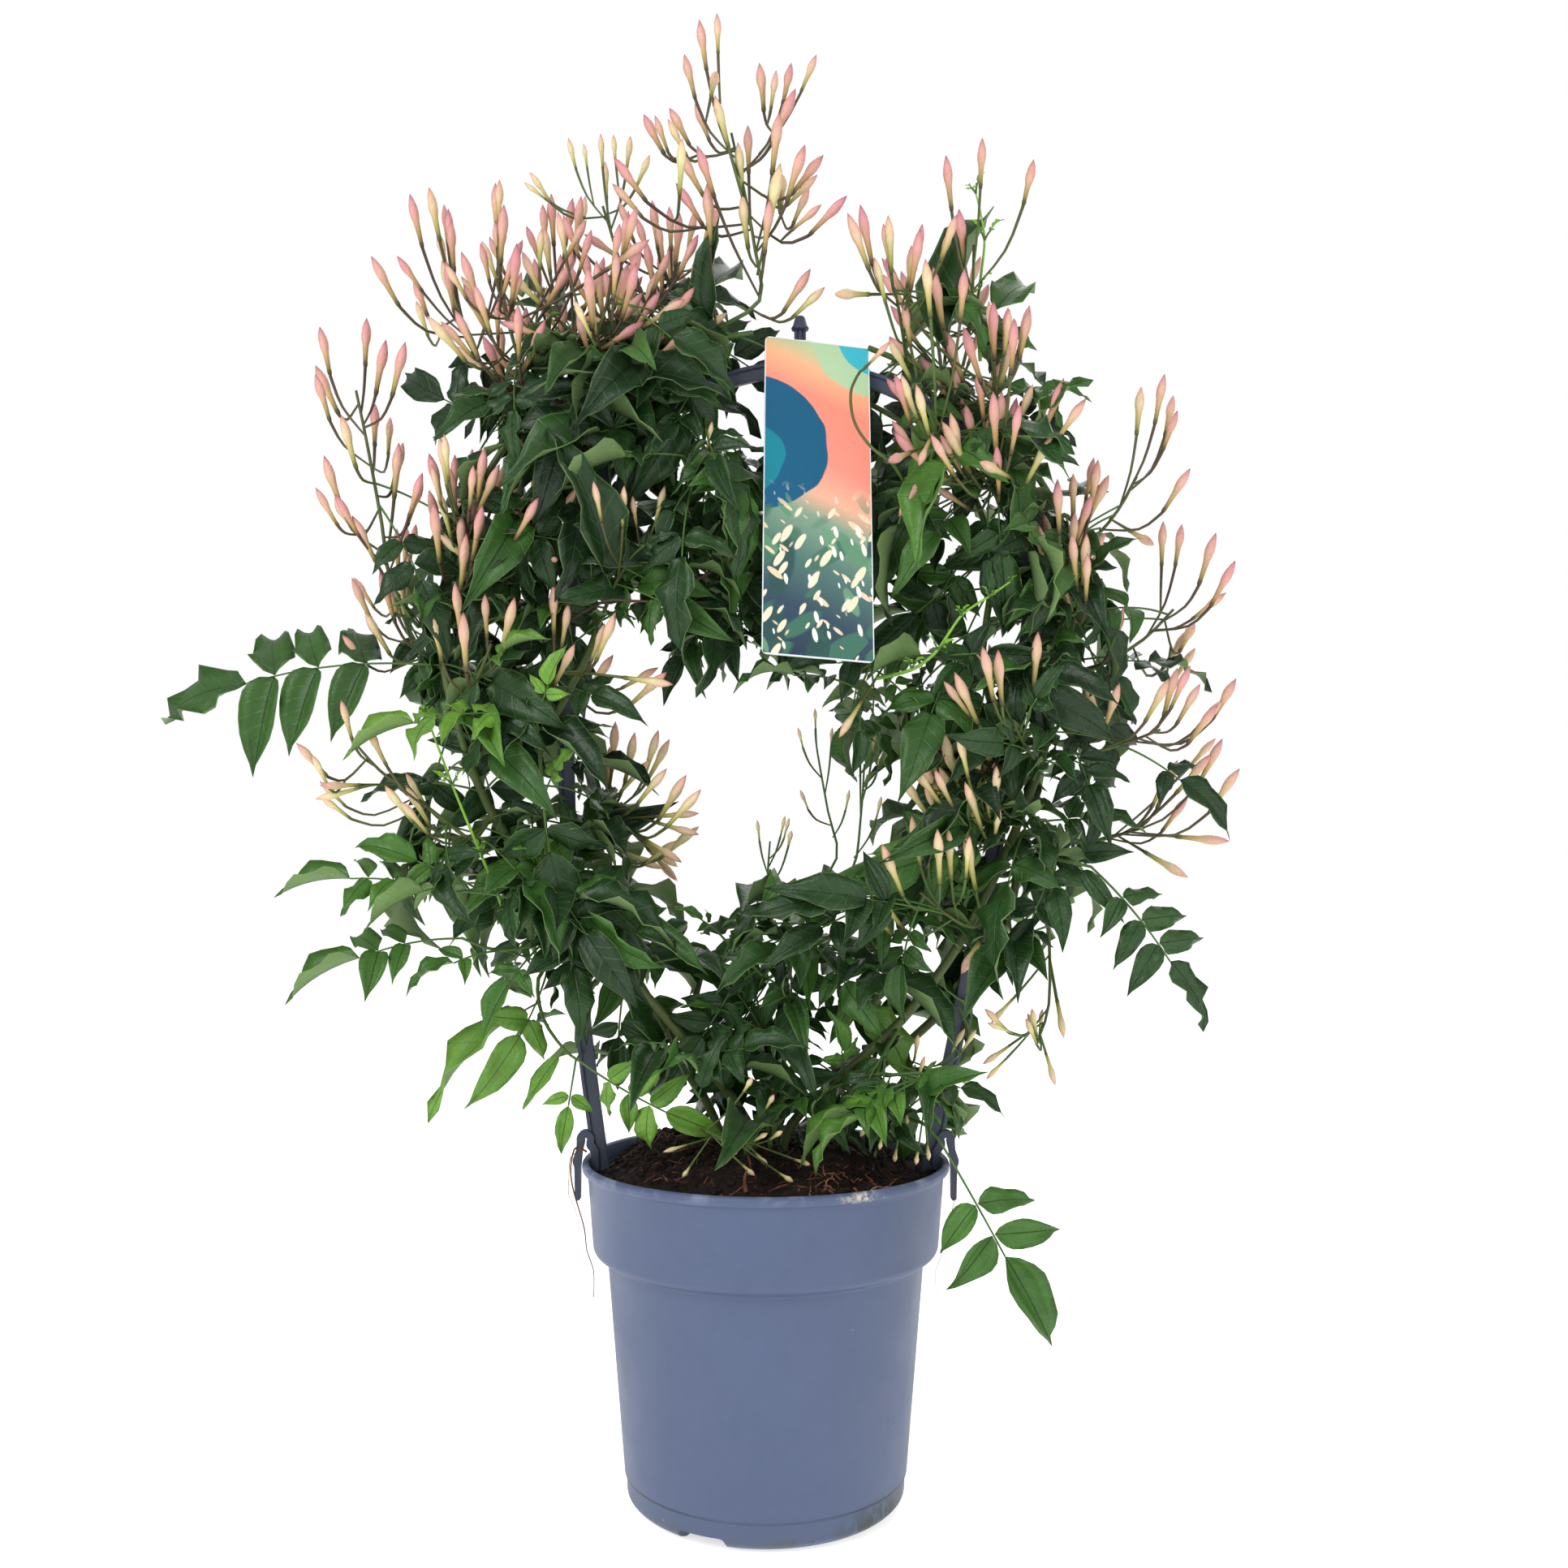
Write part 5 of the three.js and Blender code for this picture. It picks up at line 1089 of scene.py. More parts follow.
@finish(0.4, 0.00006)
def pot_plastic(tree, place):
    """Slate blue moulded plastic: scuffed, flecked with lime and potting dust, grubby at its foot, with a
    painted shadow line at the small step above the seam and lighter patches on top of the lip.
    """
    height = place.axis(2)
    blue = place.effect("mottle", Colour=display(75, 88, 118), Scale=22.0, Strength=0.06)
    scuffs = place.effect("scuffs", Scale=45.0, Amount=0.5)
    flecks = place.effect("specks", Scale=110.0, Size=0.09, Share=0.1)
    grit = place.effect("specks", Scale=75.0, Size=0.05, Share=0.07)
    # Painted shadow: a dark line along the small step above the seam, strongest at the sides.
    sides = abs(place.axis(0)).span(20 * MM, 54 * MM, 0.25, 1.0)
    line = place.near((0, 0, 14.3), (900, 900, 0.8), 0.3) * sides
    grime = height.span(12 * MM, 0.0) * place.grain(60, 5, 0.65).span(0.4, 0.62)
    ragged = place.stretched((1, 1, 0.4))
    moss = place.near((54, -36, 2), (38, 38, 17), 0.7) * ragged.grain(190, 5, 0.7).span(0.4, 0.52)
    stains = ragged.effect("specks", Scale=260.0, Size=0.55, Share=0.4)
    stains = stains * place.near((30, -52, 0), (48, 30, 9), 0.6)
    # The top 5 mm of the lip is lighter in patches.
    lip = height.span((POT.height - 5) * MM, POT.height * MM)
    lip_lighter = lip * place.grain(90, 4).span(0.5, 0.68)
    lime = place.near((41, -74, 155), (15, 12, 3.6), 0.8) * place.grain(260, 4, 0.7).span(0.46, 0.6)
    # The line's dark blue is painted shadow.
    marks = [(scuffs, 0.35, (118, 130, 158)), (flecks, 0.5, (205, 208, 214)), (grit, 0.8, (45, 44, 46)),
        (line, 1.0, (30, 34, 48)), (grime, 0.75, (84, 88, 72)), (moss, 0.95, (48, 54, 32)),
        (stains, 1.0, (52, 36, 36)), (lip_lighter, 0.55, (150, 160, 182)), (lime, 0.85, (206, 198, 180))]
    for mask, strength, colour in marks:
        blue = blend(mask * strength, blue, colour)
    relief = place.grain(1400, 2) + scuffs * 0.8
    return blue, place.grain(30, 3).span(0.3, 0.7, 0.4, 0.54), relief


@finish(0.45, 0.0001)
def hoop_plastic(tree, place):
    """The hoop's darker slate plastic, dusty on its rails."""
    slate = place.effect("mottle", Colour=display(62, 68, 86), Scale=55.0, Strength=0.1)
    scuffs = place.effect("scuffs", Scale=70.0, Amount=0.8)
    slate = blend(scuffs * 0.5, slate, (110, 118, 140))
    dust = place.effect("specks", Scale=260.0, Size=0.2, Share=0.14)
    slate = blend(dust * 0.4, slate, (150, 140, 128))
    fine = place.grain(1100, 3)
    return slate, fine.span(0.3, 0.7, 0.4, 0.56), fine + scuffs


@finish(0.25, 0.0012)
def potting_soil(tree, place):
    """Dark moist peat with lighter crumbs and red-brown bark in it."""
    peat = place.grain(150, 6, 0.7).colours((0.3, 14, 10, 8), (0.5, 32, 22, 18),
        (0.64, 50, 34, 26), (0.78, 78, 54, 40))
    bark = place.stretched((1, 2.4, 1)).effect("specks", Scale=210.0, Size=0.5, Share=0.12)
    peat = blend(bark * 0.6, peat, (112, 66, 42))
    lumps = place.into("ShaderNodeTexVoronoi", "Vector", {"Scale": 330.0}, "Distance")
    return peat, lumps.span(0.0, 0.8, 0.8, 0.98), place.grain(420, 6, 0.7) + lumps


def make_fibre(name, dark, light):
    """Dry roots and shreds of bark, streaked along their length."""

    @finish(0.3, 0.0002, name)
    def fibre(tree, place):
        streak = place.stretched((1, 1, 0.3)).grain(420, 4)
        skin = blend(streak.span(0.35, 0.65), dark, light)
        skin = place.effect("mottle", Colour=skin, Scale=60.0, Strength=0.35)
        return skin, streak.span(0.3, 0.7, 0.7, 0.9), streak


make_fibre("bark_shreds", (58, 36, 26), (128, 82, 56))
make_fibre("dry_roots", (104, 52, 40), (176, 122, 92))


def card_place(place):
    """The tag's own place: across it from -1 to 1, through it in metres, and up it from -1 to 1."""
    moved = place.into("ShaderNodeVectorMath", 0, {1: Vector(TAG.middle) * MM}, operation="SUBTRACT")
    halves = (TAG.width / 2 * MM, 1, TAG.height / 2 * MM)
    return [moved.into("ShaderNodeVectorMath", 0, {1: Vector(axis) / half}, "Value",
        operation="DOT_PRODUCT") for axis, half in zip(tag_turn().transposed(), halves)]


def ring(across, up, centre, radius, width):
    """A mask that is 1 inside a circle on the card, measured in half widths of the card."""
    side = across - centre[0]
    rise = (up - centre[1]) * (TAG.height / TAG.width)
    reach = (side * side + rise * rise).maths("SQRT")
    return reach.span(radius - width, radius + width, 1.0, 0.0)


def drops(card, turn, scale, size, share):
    """Crisp long drops strewn over the card, all drawn out one way."""
    turned = card.into("ShaderNodeMapping", "Vector", {"Rotation": (0, 0, turn)})
    mask = turned.stretched((1, 0.34, 1)).effect("specks", Scale=scale, Size=size, Share=share)
    return mask.span(0.12, 0.26)


@finish(0.5, 0.00002)
def tag_print(tree, place):
    """A glossy card printed with plain washes of colour over a bed of leaves and pale petals."""
    across, through, up = card_place(place)
    card = (across * (TAG.width / 2)).into("ShaderNodeCombineXYZ", 0, {1: up * (TAG.height / 2)})
    bent = across + card.grain(0.03, 2).span(0.3, 0.7, -0.12, 0.12)
    slant = across.maths("MULTIPLY_ADD", 0.13, up)
    art = slant.span(-1.1, 1.1).colours((0.0, 34, 52, 76), (0.16, 48, 72, 88), (0.3, 78, 116, 108),
        (0.43, 128, 158, 134), (0.5, 236, 176, 148), (0.6, 252, 146, 128),
        (0.78, 250, 142, 122), (0.86, 240, 178, 136), (0.93, 182, 204, 156), (1.0, 206, 176, 150))
    washes = [((1.1, 1.04), 1.25, (176, 208, 166)), ((1.2, 1.06), 0.85, (58, 182, 200)),
        ((-1.25, 0.3), 1.45, (6, 88, 124)), ((-1.4, 0.2), 0.8, (10, 128, 146))]
    for centre, radius, tint in washes:
        art = blend(ring(bent, up, centre, radius, 0.012), art, tint)
    low = up.span(0.06, -0.12)
    bed = [(0.9, 0.085, 0.6, 0.9, (62, 112, 92)), (-0.7, 0.1, 0.55, 0.8, (92, 142, 108)),
        (0.2, 0.075, 0.55, 0.6, (40, 78, 76)), (-0.4, 0.13, 0.5, 0.5, (104, 152, 118)),
        (0.5, 0.23, 0.44, 0.62, (240, 228, 200)), (-0.9, 0.26, 0.42, 0.6, (240, 212, 178)),
        (-0.2, 0.3, 0.38, 0.5, (244, 240, 228))]
    for turn, scale, size, share, tint in bed:
        art = blend(drops(card, turn, scale, size, share) * low * 0.9, art, tint)
    rim = (abs(across) > 0.982).maths("MAXIMUM", abs(up) > 0.994)
    art = blend(rim, art, (226, 230, 236))
    thick = TAG.thickness * MM
    printed = (through < -0.3 * thick) * (through > -1.2 * thick)
    paper = place.effect("mottle", Colour=display(222, 224, 226), Scale=90.0, Strength=0.03)
    fine = place.grain(1500, 2)
    return blend(printed, paper, art), fine.span(0.3, 0.7, 0.26, 0.34), fine


# -------------------- shells, meshes and objects


def add_shell(build, rows, size=MM):
    """A closed shell through rows of places. A row of one place is a pole; other ends are capped."""
    rings = [[build.verts.new(Vector(place) * size) for place in row] for row in rows]
    for low, high in zip(rings, rings[1:]):
        sides = max(len(low), len(high))
        for k in range(sides):
            after = (k + 1) % sides
            corners = (low[k % len(low)], low[after % len(low)], high[after % len(high)],
                high[k % len(high)])
            build.faces.new(list(dict.fromkeys(corners)))
    return [build.faces.new(end) for end in (rings[0], rings[-1]) if len(end) > 1]


def finish_shape(name, build):
    """Turns all faces outwards, smooths them and returns the mesh."""
    bmesh.ops.recalc_face_normals(build, faces=build.faces)
    for face in build.faces:
        face.smooth = True
    mesh = bpy.data.meshes.new(name)
    build.to_mesh(mesh)
    build.free()
    return mesh


def shell_mesh(name, rows, size=MM):
    build = bmesh.new()
    add_shell(build, rows, size)
    return finish_shape(name, build)


def turned(outline, sides, middle=0.0):
    """Rows of places of an outline of radius and height turned round an upright axis."""
    turns = [2 * math.pi * k / sides for k in range(sides)]
    return [[(middle + radius * math.cos(turn), radius * math.sin(turn), height)
        for turn in turns[:None if radius else 1]] for radius, height in outline]


def set_attribute(mesh, name, values, kind="FLOAT"):
    layer = mesh.attributes.new(name, kind, "POINT")
    key = {"FLOAT": "value", "INT": "value", "FLOAT_VECTOR": "vector"}[kind]
    layer.data.foreach_set(key, values)


def mesh_of(name, places, faces, edges=()):
    mesh = bpy.data.meshes.new(name)
    mesh.from_pydata(places, edges, faces)
    mesh.polygons.foreach_set("use_smooth", [True] * len(mesh.polygons))
    mesh.update()
    return mesh


def shown(name, data, collection=None):
    """An object of its data, in the scene or in a collection of shapes."""
    made = bpy.data.objects.new(name, data)
    (collection or bpy.context.scene.collection).objects.link(made)
    return made


def settle(piece, skin, node=None, crease=None):
    """Gives a piece its finish and its body and, where there is one, hides the CAD node that it replaces.
    """
    piece.data.materials.clear()
    piece.data.materials.append(MATERIALS[skin])
    if crease:
        piece.data.set_sharp_from_angle(angle=math.radians(crease))
    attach(piece, "root")
    if node:
        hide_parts(node)


# -------------------- one leaflet and one bud

BLADE_STATIONS = (0.03, 0.1, 0.2, 0.33, 0.47, 0.61, 0.75, 0.88)
BLADE_ACROSS = (-1, -0.5, 0, 0.5, 1)
# How much each blade folds, how deep its edge waves and how often, its arch and its sideways curl.
BLADES = {
    "side": [(0.35, 0.055, 9, 0.09, 0.03), (0.15, 0.08, 11, 0.14, -0.05),
        (0.6, 0.04, 8, 0.06, 0.06), (-0.2, 0.09, 12, 0.11, -0.01)],
    "end": [(0.28, 0.05, 13, 0.12, 0.07), (0.5, 0.07, 15, 0.17, -0.08),
        (0.1, 0.08, 17, 0.13, 0.11), (0.7, 0.045, 12, 0.08, -0.03)],
}
BLADE_THICK = 0.009


def blade_width(u):
    """Half the blade's width along it, 1 at its widest, drawn out to a fine tip."""
    return (u / 0.34) ** 0.55 * ((1 - u) / 0.66) ** 1.35


def make_blade(name, shape, collection):
    """A thin closed blade of unit length and half width: base at the origin, tip up the y axis."""
    fold, wave, beats, rise, curl = shape
    corners, faces = [], []

    def put(u, v, side):
        wide = blade_width(u) if 0 < u < 1 else 0
        lift = fold * abs(v) * wide * 0.3
        ripple = wave * math.sin(beats * u + 2 * (v > 0)) * v * v
        arch = rise * (1 - (2 * u - 1) ** 2)
        sway = curl * max(0, u - 0.55) ** 2 * 12
        thick = side * BLADE_THICK / 2
        corners.append(((v * wide + sway, u, lift + ripple + arch + thick), u, v, float(side < 0)))
        return len(corners) - 1

    rims = []
    for side in (1, -1):
        base = put(0, 0, side)
        rows = [[put(u, v, side) for v in BLADE_ACROSS] for u in BLADE_STATIONS]
        tip = put(1, 0, side)
        sheet = []
        for row, after in zip(rows, rows[1:]):
            for k in range(len(BLADE_ACROSS) - 1):
                sheet.append((row[k], row[k + 1], after[k + 1], after[k]))
        for k in range(len(BLADE_ACROSS) - 1):
            sheet.append((base, rows[0][k + 1], rows[0][k]))
            sheet.append((tip, rows[-1][k], rows[-1][k + 1]))
        # Both faces are split along the same diagonals, so that they never cross.
        faces.extend(face if side > 0 else (face[0], *face[:0:-1]) for face in sheet)
        rims.append([base] + [row[-1] for row in rows] + [tip] + [row[0] for row in rows[::-1]])
    top, bottom = rims
    for k in range(len(top)):
        after = (k + 1) % len(top)
        faces.append((top[k], bottom[k], bottom[after], top[after]))
    places, *values = zip(*corners)
    mesh = mesh_of(name, places, faces)
    for key, column in zip(("run", "cross", "under"), values):
        set_attribute(mesh, key, column)
    shown(name, mesh, collection)


BUD_SIDES = 7
BUD_RINGS = [(0.0, 0.3), (0.035, 0.43), (0.09, 0.48), (0.12, 0.43), (0.26, 0.5), (0.42, 0.6),
    (0.48, 0.67), (0.57, 0.88), (0.67, 0.98), (0.78, 0.86), (0.9, 0.48)]
BUD_BENDS = (0.0, 0.05, -0.07, 0.1)


def make_bud(name, bend, collection):
    """A furled bud of unit length and girth, its calyx at the origin and its tip up the y axis."""
    spots = [[(0, 0, 0)]]
    for i, (run, reach) in enumerate(BUD_RINGS):
        spots.append([(run, reach, (k + 0.12 * i) / BUD_SIDES) for k in range(BUD_SIDES)])
    spots.append([(1, 0, 0)])
    rows = [[(reach * math.cos(2 * math.pi * turn), run,
        reach * math.sin(2 * math.pi * turn) + bend * math.sin(math.pi * run))
        for run, reach, turn in row] for row in spots]
    mesh = shell_mesh(name, rows, 1)
    set_attribute(mesh, "run", [run for row in spots for run, _, _ in row])
    set_attribute(mesh, "around", [turn for row in spots for _, _, turn in row])
    shown(name, mesh, collection)


blade_shapes = bpy.data.collections.new("leaflet_blades")
bud_shapes = bpy.data.collections.new("furled_buds")
for kind in ("end", "side"):
    for i, shape in enumerate(BLADES[kind]):
        make_blade(f"blade_{kind}_{i}", shape, blade_shapes)
for i, bend in enumerate(BUD_BENDS):
    make_bud(f"bud_{i}", bend, bud_shapes)


# -------------------- the tree that grows a stem

STALK, BUD_POINT, LEAF_POINT = 0, 1, 2


def new_tree(name, inputs):
    """A Geometry Nodes tree with a shape going in and one coming out, and other named inputs."""
    return new_group(name, "Geometry", {"Geometry": "Geometry", **inputs}, "Geometry", "Geometry")


def named(tree, name, kind="FLOAT"):
    node = add(tree, "GeometryNodeInputNamedAttribute", {"Name": name}, data_type=kind)
    return Flow(node.outputs["Attribute"])


def points_of(plan, kind):
    """Only the points of one kind of the plan."""
    same = named(plan.tree, "kind", "INT").into("FunctionNodeCompare", 2, {3: kind},
        data_type="INT", operation="EQUAL")
    return plan.into("GeometryNodeSeparateGeometry", "Geometry", {"Selection": same}, "Selection",
        domain="POINT")


def pick_shapes(collection, points, index, turn, size, skin):
    """Sets one of a collection's shapes at each point, and gives the real shapes their finish."""
    shapes = collection.into("GeometryNodeCollectionInfo", "Collection", {"Separate Children": True,
        "Reset Children": True})
    laid = points.into("GeometryNodeInstanceOnPoints", "Points", {"Instance": shapes,
        "Pick Instance": True, "Instance Index": index, "Rotation": turn, "Scale": size})
    real = laid.into("GeometryNodeRealizeInstances", "Geometry")
    return real.into("GeometryNodeSetMaterial", "Geometry", {"Material": skin})


def set_shapes(plan, kind, collection, skin):
    """A shape at each of the plan's points of a kind, turned and sized by the point."""
    tree = plan.tree
    turn = named(tree, "ahead", "FLOAT_VECTOR").into("FunctionNodeAxesToRotation", "Primary Axis",
        {"Secondary Axis": named(tree, "facing", "FLOAT_VECTOR")}, primary_axis="Y", secondary_axis="Z")
    return pick_shapes(collection, points_of(plan, kind), named(tree, "pick", "INT"), turn,
        named(tree, "size", "FLOAT_VECTOR"), skin)


def make_growth_tree():
    """Round stalks along the lines it is given, and a bud or a leaflet at each marked point."""
    tree, given, end = new_tree("jasmine_growth", {"Stalk Sides": "Int", "Stalk Steps": "Int",
        "Bud Shapes": "Collection", "Leaflet Shapes": "Collection", "Stalk Finish": "Material",
        "Bud Finish": "Material", "Leaf Finish": "Material"})
    plan = given["Geometry"]
    curves = points_of(plan, STALK).into("GeometryNodeMeshToCurve", "Mesh")
    smooth = curves.into("GeometryNodeCurveSplineType", "Curve", spline_type="CATMULL_ROM")
    stepped = smooth.into("GeometryNodeSetSplineResolution", "Geometry",
        {"Resolution": given["Stalk Steps"]})
    section = given["Stalk Sides"].into("GeometryNodeCurvePrimitiveCircle", "Resolution", {"Radius": 1.0})
    stalks = stepped.into("GeometryNodeCurveToMesh", "Curve", {"Profile Curve": section,
        "Scale": named(tree, "girth"), "Fill Caps": True})
    soft = stalks.into("GeometryNodeSetShadeSmooth", "Geometry")
    skinned = soft.into("GeometryNodeSetMaterial", "Geometry", {"Material": given["Stalk Finish"]})
    buds = set_shapes(plan, BUD_POINT, given["Bud Shapes"], given["Bud Finish"])
    leaves = set_shapes(plan, LEAF_POINT, given["Leaflet Shapes"], given["Leaf Finish"])
    joined = add(tree, "GeometryNodeJoinGeometry")
    for part in (leaves, buds, skinned):
        tree.links.new(part.socket, joined.inputs[0])
    real = Flow(joined.outputs[0]).into("GeometryNodeRealizeInstances", "Geometry")
    tree.links.new(real.socket, end)
    return tree


def grown(mesh, tree, values, name):
    """Runs a tree on a mesh with the given inputs, and returns the result as a plain object."""
    host = shown(name + "_host", mesh)
    modifier = host.modifiers.new("growth", "NODES")
    modifier.node_group = tree
    sockets = {item.name: item.identifier for item in tree.interface.items_tree
        if item.in_out == "INPUT"}
    for key, value in values.items():
        modifier[sockets[key]] = value
    graph = bpy.context.evaluated_depsgraph_get()
    mesh = bpy.data.meshes.new_from_object(host.evaluated_get(graph), depsgraph=graph)
    host.modifiers.clear()
    bpy.data.objects.remove(host)
    mesh.name = name
    return shown(name, mesh)


# What each point of a plan holds, and its usual value.
PLAN_COLUMNS = {
    "kind": ("INT", STALK),
    "girth": ("FLOAT", 0.0),
    "tint": ("FLOAT", 0.0),
    "ahead": ("FLOAT_VECTOR", (0, 1, 0)),
    "facing": ("FLOAT_VECTOR", (0, 0, 1)),
    "size": ("FLOAT_VECTOR", (1, 1, 1)),
    "pick": ("INT", 0),
    "tone": ("FLOAT", 0.0),
}


def plan_mesh(name, plant):
    """One plant node's plan as a mesh: lines of stalks, and a loose point for each bud and leaflet."""
    rows = []
    edges = []
    for line, girths, tints in plant.stalks:
        first = len(rows)
        last = len(line) - 1
        for i, place in enumerate(line):
            share = i / last
            girth = girths[0] + (girths[1] - girths[0]) * share
            tint = tints[0] + (tints[1] - tints[0]) * share
            rows.append({"place": place, "girth": girth * MM, "tint": tint})
        edges.extend((first + i, first + i + 1) for i in range(last))
    for bud in plant.buds:
        facing = Vector((vary(-1, 1), vary(-1, 1), vary(-1, 1)))
        length = bud["length"] * MM
        girth = length * BUD.girth / BUD.length * (BUD.plump if bud["length"] < BUD.small else 1)
        rows.append({**bud, "kind": BUD_POINT, "facing": facing, "size": (girth, length, girth),
            "pick": chance.randrange(len(BUD_BENDS))})
    for leaflet in plant.leaflets:
        shapes = len(BLADES[leaflet["blade"]])
        pick = chance.randrange(shapes) + (0 if leaflet["blade"] == "end" else len(BLADES["end"]))
        length = leaflet["length"] * MM
        rows.append({**leaflet, "kind": LEAF_POINT, "size": (leaflet["wide"] * MM, length, length),
            "pick": pick})
    mesh = mesh_of(name, [row["place"] * MM for row in rows], [], edges)
    for key, (kind, usual) in PLAN_COLUMNS.items():
        values = [row.get(key, usual) for row in rows]
        if kind == "FLOAT_VECTOR":
            values = [part for value in values for part in value]
        set_attribute(mesh, key, values, kind)
    return mesh


def grown_plant(plant, name, sides, steps, skin):
    return grown(plan_mesh(name + "_plan", plant), growth_tree, {"Stalk Sides": sides,
        "Stalk Steps": steps, "Bud Shapes": bud_shapes, "Leaflet Shapes": blade_shapes,
        "Stalk Finish": MATERIALS[skin], "Bud Finish": MATERIALS["bud_skin"],
        "Leaf Finish": MATERIALS["leaf_blade"]}, name)


def dress_plant(name):
    plant = plants[name]
    vine = name in VINES
    sides, steps = (8, 4) if vine else (6, 3)
    piece = grown_plant(plant, name + "_dressed", sides, steps, "stalk_skin")
    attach(piece, "root")
    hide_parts(name)


growth_tree = make_growth_tree()
for name in plants:
    dress_plant(name)


# -------------------- pot


def rounded(outline, radius, steps=3):
    """An open outline with each of its corners turned on a small arc."""
    smooth = [outline[0]]
    for before, corner, after in zip(outline, outline[1:], outline[2:]):
        before, corner, after = Vector(before), Vector(corner), Vector(after)
        back = before - corner
        ahead = after - corner
        cut = min(radius, 0.4 * back.length, 0.4 * ahead.length)
        start = corner + back.normalized() * cut
        end = corner + ahead.normalized() * cut
        for i in range(steps + 1):
            t = i / steps
            smooth.append(tuple(start.lerp(corner, t).lerp(corner.lerp(end, t), t)))
    return [*smooth, outline[-1]]


def pot_outline():
    foot, heel, seam, lip = POT.foot, POT.heel, POT.seam, POT.lip
    shoulder, collar, mouth, wall = POT.shoulder, POT.collar, POT.mouth, POT.wall
    base, height, pad = POT.floor, POT.height, POT.pad
    outside = [(0, 0), (pad, 0), (pad + 1.5, base), (foot - 6, base), (foot - 4, 0), (foot, 0),
        (heel - 2.6, 2.2), (heel, 4.8), (seam, 13.7), (seam + 0.8, 14.1), (shoulder, 113),
        (collar - 1, 115.6), (collar, 117.6), (mouth, 151.6), (lip, 152.8), (lip, 155.8),
        (lip - 1.4, height)]
    inside = [(lip - 3, height - 0.6), (mouth - wall, 151), (collar - wall, 118.4),
        (shoulder - wall, 114.4), (heel - wall, 7.5), (heel - 5, base + 2), (0, base + 2)]
    return rounded(outside + inside, 1.6)


def notch_cutter():
    """A block with two rounded upper corners, lying across the pot's foot."""
    wide, tall, deep = NOTCH.width / 2, NOTCH.height, NOTCH.deep / 2
    outline = rounded([(-wide, -tall), (-wide, tall), (wide, tall), (wide, -tall)], 2.5)
    rows = [[(x, side * deep, z) for x, z in outline] for side in (-1, 1)]
    return bpy.data.objects.new("notch_cutter", shell_mesh("notch_cutter", rows))


def drain_cutter():
    outline = [(0, -6), (DRAIN.radius, -6), (DRAIN.radius, 6), (0, 6)]
    return bpy.data.objects.new("drain_cutter", shell_mesh("drain_cutter", turned(outline, 16)))


def make_opening_tree():
    """Cuts one shape out of a shell at even steps round a circle."""
    tree, given, end = new_tree("openings_round_a_circle", {"Cutter": "Object", "Count": "Int",
        "Circle": "Float", "First Turn": "Float", "Height": "Float"})
    circle = given["Count"].into("GeometryNodeMeshCircle", "Vertices", {"Radius": given["Circle"]})
    spin = given["First Turn"].into("ShaderNodeCombineXYZ", 2)
    lift = given["Height"].into("ShaderNodeCombineXYZ", 2)
    spun = circle.into("GeometryNodeTransform", "Geometry", {"Translation": lift, "Rotation": spin})
    place = Flow(add(tree, "GeometryNodeInputPosition").outputs[0])
    facing = place.into("FunctionNodeAxesToRotation", "Secondary Axis", {"Primary Axis": (0, 0, 1)},
        primary_axis="Z", secondary_axis="Y")
    shape = given["Cutter"].into("GeometryNodeObjectInfo", "Object", output="Geometry")
    cutters = spun.into("GeometryNodeInstanceOnPoints", "Points", {"Instance": shape,
        "Rotation": facing}).into("GeometryNodeRealizeInstances", "Geometry")
    cut = given["Geometry"].into("GeometryNodeMeshBoolean", "Mesh 1", {"Mesh 2": cutters}, "Mesh",
        operation="DIFFERENCE")
    tree.links.new(cut.socket, end)
    return tree


def dress_pot():
    tree = make_opening_tree()
    shell = shell_mesh("pot_shell", turned(pot_outline(), 144))
    notched_pot = grown(shell, tree, {"Cutter": notch_cutter(), "Count": NOTCH.count,
        "Circle": (POT.foot + 4) * MM, "First Turn": math.radians(NOTCH.first - 90),
        "Height": 0.0}, "notched_pot")
    notched = notched_pot.data
    bpy.data.objects.remove(notched_pot)
    pot = grown(notched, tree, {"Cutter": drain_cutter(), "Count": DRAIN.count,
        "Circle": DRAIN.circle * MM, "First Turn": math.radians(180 / DRAIN.count),
        "Height": (POT.floor + 1) * MM}, "nursery_pot")
    settle(pot, "pot_plastic", "pot", 35)


# -------------------- soil


def soil_height(x, y):
    """The soil's surface: level at the wall, raised in the middle, with one clod at the back."""
    lump_x, lump_y, lump, spread = SOIL.lump
    clod = lump * math.exp(-((x - lump_x) ** 2 + (y - lump_y) ** 2) / spread ** 2)
    edge = max(0, 1 - math.hypot(x, y) / POT.mouth)
    crumbs = 1.2 * math.sin(0.31 * x + 1) * math.cos(0.27 * y) * min(1, 5 * edge)
    mound = (SOIL.middle - SOIL.edge) * min(1, 1.6 * edge)
    return SOIL.edge + mound + clod * min(1, 6 * edge) + crumbs


def rough_soil_height(x, y):
    """The same surface with lumps and pits of a few millimetres on it, fading out at the wall."""
    edge = min(1, 4 * max(0, 1 - math.hypot(x, y) / (POT.mouth - 2)))
    lumps = noise.fractal(Vector((x, y, 3)) * 0.09, 0.9, 2.1, 4) * 2.4
    pits = noise.ridged_multi_fractal(Vector((x, y, 9)) * 0.2, 1.0, 2.2, 3, 0.8, 1.8) * 0.7
    return soil_height(x, y) + (lumps + pits - 1.0) * edge


